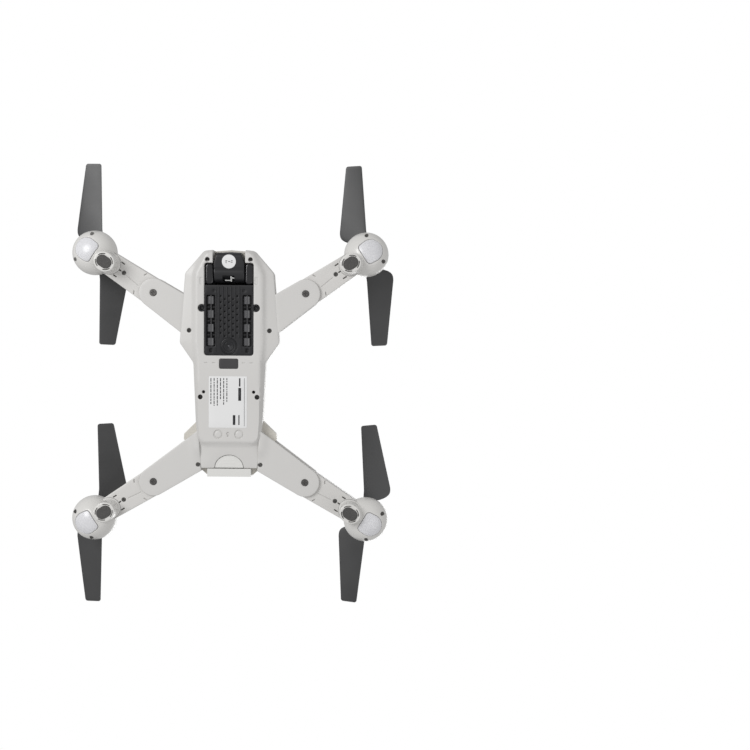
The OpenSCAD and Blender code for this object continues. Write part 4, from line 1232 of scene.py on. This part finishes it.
def makeCamera():
    # Case with a recess for the link and a hole for the lens; the link, the sticker and the lens barrel
    shape = Shape()
    outline = rounded(camera["half"] + [(-x, y, r) for x, y, r in camera["half"][::-1]], 1.0)
    guide = [np.array([(x, y) for x in np.linspace(-12, 12, 17)]) for y in (-101.4, -101.0, -100.0, -99.6)]
    seam = (flatAt(camera["seam"]), 0)
    recess = [pocket(rectLoop(-0.6, -93.4, 10.4, 5.0, 0.7), 3.5, 0.25)]
    skin(shape, outline, below(caseBottom), recess, spacing=1.2, lip=0.5, edge=seam, guides=guide)
    skin(shape, outline, above(caseTop), spacing=1.6, lip=0.5, edge=seam, guides=guide)
    case = finishMesh("cameraCase", shape, paint["caseBlack"], "camera", "camera_case", "black_plastic", 40)
    lensHole = [(camera["lensHole"], -118.5), (camera["lensHole"], -111.0)]
    cut(case, [lathe(Shape(), lensHole, (0, camera["lensZ"]), 64, "y")])
    link = Shape()
    for x, y, w, h in ((1.7, -93.2, 1.3, 4.6), (-1.4, -91.9, 4.6, 1.0), (3.6, -93.9, 1.8, 1.1)):
        moulded(link, rectLoop(x, y, w, h, 0.2), 15.6, 16.8, 0.2, 2.0)
    finishMesh("tiltLink", link, paint["silver"], "camera", None, "screw_steel")
    # round film on the underside
    film = Shape()
    moulded(film, circleLoop(0, camera["stickerY"], camera["stickerRadius"], 64), offsetFrom(caseBottom, -0.12),
            offsetFrom(caseBottom, 0.05), 0.05, 1.5)
    finishMesh("cameraSticker", film, paint["paper"], "camera", "camera_sticker", "label_white", 60)
    marks = Shape()
    for x, y, w, h in ((-2.2, -108.6, 1.6, 0.6), (-2.4, -107.3, 0.6, 1.6), (0.3, -108.0, 1.8, 0.6),
                       (2.6, -108.7, 1.3, 0.6), (2.4, -107.4, 1.7, 0.6)):
        moulded(marks, rectLoop(x, y, w, h, 0.1), offsetFrom(caseBottom, -0.14), offsetFrom(caseBottom, -0.04),
                0.03, 5.0)
    finishMesh("stickerMarks", marks, paint["ink"], "camera", None, "label_white", 60)
    # lens barrel, looking towards the nose
    lens = Shape()
    profile = [(0.05, 1.9), (1.6, 1.75), (2.9, 1.3), (3.2, 1.5), (3.3, 0.9), (4.4, 0.5), (4.5, 0.9), (5.2, 0.85),
               (5.3, 0.1), (5.9, 0.0), (6.4, 0.3), (6.45, 1.0), (6.45, 5.8), (0.05, 5.8)]
    lathe(lens, [(r, camera["lensY"] + d) for r, d in profile], (0, camera["lensZ"]), 64, "y")
    glass = lensGlass("cameraGlass", camera["glass"], (0, -117.0 * mm, camera["lensZ"] * mm), 4200.0)
    finishMesh("cameraLens", lens, glass, "camera", "camera_lens", "lens_black")


yoke = {"cheekX": 17.2, "cheekWidth": 7.2, "cheekLength": 18.4, "low": 14.4, "high": 30.0, "journal": 1.98}


def makeYoke():
    # Two round-ended cheeks with their tilt journals, and the bridge behind the camera
    shape = Shape()
    for s in (-1, 1):
        cheek = rectLoop(s * yoke["cheekX"], -97.5, yoke["cheekWidth"], yoke["cheekLength"], 3.0)
        moulded(shape, cheek, yoke["low"], yoke["high"], 1.7, 1.2)
        moulded(shape, rectLoop(s * 17.6, -89.5, 4.5, 2.2, 0.4), 24.0, 36.0, 0.3, 2.0)
        lathe(shape, [(yoke["journal"], s * 11.5), (yoke["journal"], s * 14.5)], (camera["tiltY"], camera["tiltZ"]),
              24, "x")
    moulded(shape, rectLoop(0, -86.6, 41.2, 7.8, 1.0), 34.6, 36.4, 0.4, 4.0)
    finishMesh("cameraYoke", shape, paint["glossBlack"], "root", "camera_yoke", "black_plastic")


makeCamera()
makeYoke()
print("stage: camera")

latch = {"radius": 12.25, "reach": 11.2, "y": 70.6, "level": 16.8, "back": 18.3, "ridges": (63.6, 66.2, 68.8)}


def makeLatch():
    # Half-round tongue. Its face is level + 0.3 exp(-((r - 0.86) / 0.022)^2) for the border groove, less a bell curve
    # for each grip ridge
    shape = Shape()
    arc = [(latch["radius"] * math.cos(a), latch["y"] - latch["reach"] * math.sin(a), 0.0)
           for a in np.linspace(0.02, math.pi - 0.02, 31)]
    outline = rounded(arc, 1.2)

    def face(points):
        r = np.hypot(points[:, 0] / 12.0, (points[:, 1] - 70.4) / 11.0)
        groove = np.exp(-((r - 0.86) / 0.022) ** 2)
        ridges = sum(np.exp(-((points[:, 1] - y) / 0.35) ** 2) for y in latch["ridges"])
        ridges = ridges * ease((5.5 - np.abs(points[:, 0])) / 0.8)
        return latch["level"] + 0.3 * groove - 0.22 * ridges
    skin(shape, outline, below(face), spacing=0.8, lip=0.35, edge=(flatAt(latch["back"]), 0))
    closeBack(shape, outline, latch["back"], 0.1)
    finishMesh("batteryLatch", shape, paint["battery"], "latch", "battery_latch", "battery_light", 50)


def makeButton():
    # Turned cap with a dished top, on its stem
    cap = [(0.05, 42.2), (2.1, 42.2), (2.1, 46.9), (4.9, 46.9), (4.95, 48.2), (4.6, 48.5), (3.6, 48.55), (3.0, 48.3),
           (0.05, 48.25)]
    shape = lathe(Shape(), cap, (0, back["buttonY"]))
    finishMesh("powerButton", shape, paint["rubber"], "button", "power_button", "pad_rubber")


makeLatch()
makeButton()
print("stage: latch and button")

# The nodes that keep their own mesh only get a material.
kept = {
    "arm_pivot_screws": "screw", "shell_screws": "screw", "tray_dampers": "damper", "main_board": "board",
    "battery_case": "battery", "battery_cells": "cells",
}
for corner in cornerNames:
    kept[corner + "_screws"] = "screw"
    kept[corner + "_bell"] = "motor"
    kept[corner + "_stator"] = "copper"
    kept[corner + "_hub"] = "blade"
for nodeName, paintName in kept.items():
    for slot in frame["nodes"][nodeName].material_slots:
        slot.material = paint[paintName]
print("stage: kept nodes")

studio = {
    "floorHalf": 1.6, "lightStrength": 0.50, "eye": (127.3, -60.0, -1078.9), "lens": 60.864,
    "forward": (-0.0011, 0.0445, 0.999), "down": (0.0073, 1, -0.0445),
    # place in metres, disk diameter and power in watts
    "lamps": {"keyBelow": ((-0.75, -0.5, -1.0), 0.8, 10), "fillBelow": ((0.9, 0.4, -0.8), 1.2, 3),
              "above": ((0.3, 0.5, 1.5), 1.2, 6)},
}


def makeFloor():
    # Pale floor that shows only from its upper side, so the underside of the drone can be seen through it
    mesh = bpy.data.meshes.new("floor")
    half = studio["floorHalf"]
    mesh.from_pydata([(-half, -half, 0), (half, -half, 0), (half, half, 0), (-half, half, 0)], [], [(0, 1, 2, 3)])
    floor = bpy.data.objects.new("floor", mesh)
    bpy.context.scene.collection.objects.link(floor)
    material, tree, shader = newMaterial("floorPale")
    shader.inputs["Base Color"].default_value = (0.86, 0.86, 0.86, 1)
    shader.inputs["Roughness"].default_value = 0.8
    facing = addNode(tree, "ShaderNodeNewGeometry")
    clear = addNode(tree, "ShaderNodeBsdfTransparent")
    mix = addNode(tree, "ShaderNodeMixShader", {0: facing.outputs["Backfacing"]})
    tree.links.new(shader.outputs[0], mix.inputs[1])
    tree.links.new(clear.outputs[0], mix.inputs[2])
    tree.links.new(mix.outputs[0], tree.nodes["Material Output"].inputs["Surface"])
    mesh.materials.append(material)
    for ray in ("shadow", "diffuse", "glossy"):
        setattr(floor, "visible_" + ray, False)


def areaLight(name, place, size, power):
    # Round lamp that faces the drone
    data = bpy.data.lights.new(name, "AREA")
    data.shape = "DISK"
    data.size = size
    data.energy = power
    light = bpy.data.objects.new(name, data)
    bpy.context.scene.collection.objects.link(light)
    light.location = place
    light.rotation_euler = (-Vector(place)).to_track_quat("-Z", "Y").to_euler()


def makeWorld():
    world = bpy.data.worlds.new("studio")
    bpy.context.scene.world = world
    world.use_nodes = True
    tree = world.node_tree
    background = tree.nodes["Background"]
    background.inputs["Color"].default_value = (1, 1, 1, 1)
    # white where it is seen, softer where it lights the drone
    path = addNode(tree, "ShaderNodeLightPath")
    tree.links.new(ranged(tree, path.outputs["Is Camera Ray"], 0, 1, studio["lightStrength"], 1.0),
                   background.inputs["Strength"])


def makeCameraView():
    # Eye below the drone, looking up, with the nose at the top of the view
    forward = Vector(studio["forward"]).normalized()
    right = Vector(studio["down"]).cross(forward).normalized()
    up = right.cross(forward).normalized()
    if up.y > 0:
        up = -up
    matrix = Matrix((forward.cross(up), up, -forward)).transposed().to_4x4()
    matrix.translation = Vector(studio["eye"]) * mm
    data = bpy.data.cameras.new("view")
    data.sensor_width = 36
    data.lens = studio["lens"]
    data.clip_start = 0.01
    view = bpy.data.objects.new("view", data)
    bpy.context.scene.collection.objects.link(view)
    view.matrix_world = matrix
    bpy.context.scene.camera = view


makeFloor()
makeWorld()
for lampName, (place, size, power) in studio["lamps"].items():
    areaLight(lampName, place, size, power)
makeCameraView()
bpy.context.scene.view_settings.view_transform = "Standard"

print("stage: done")
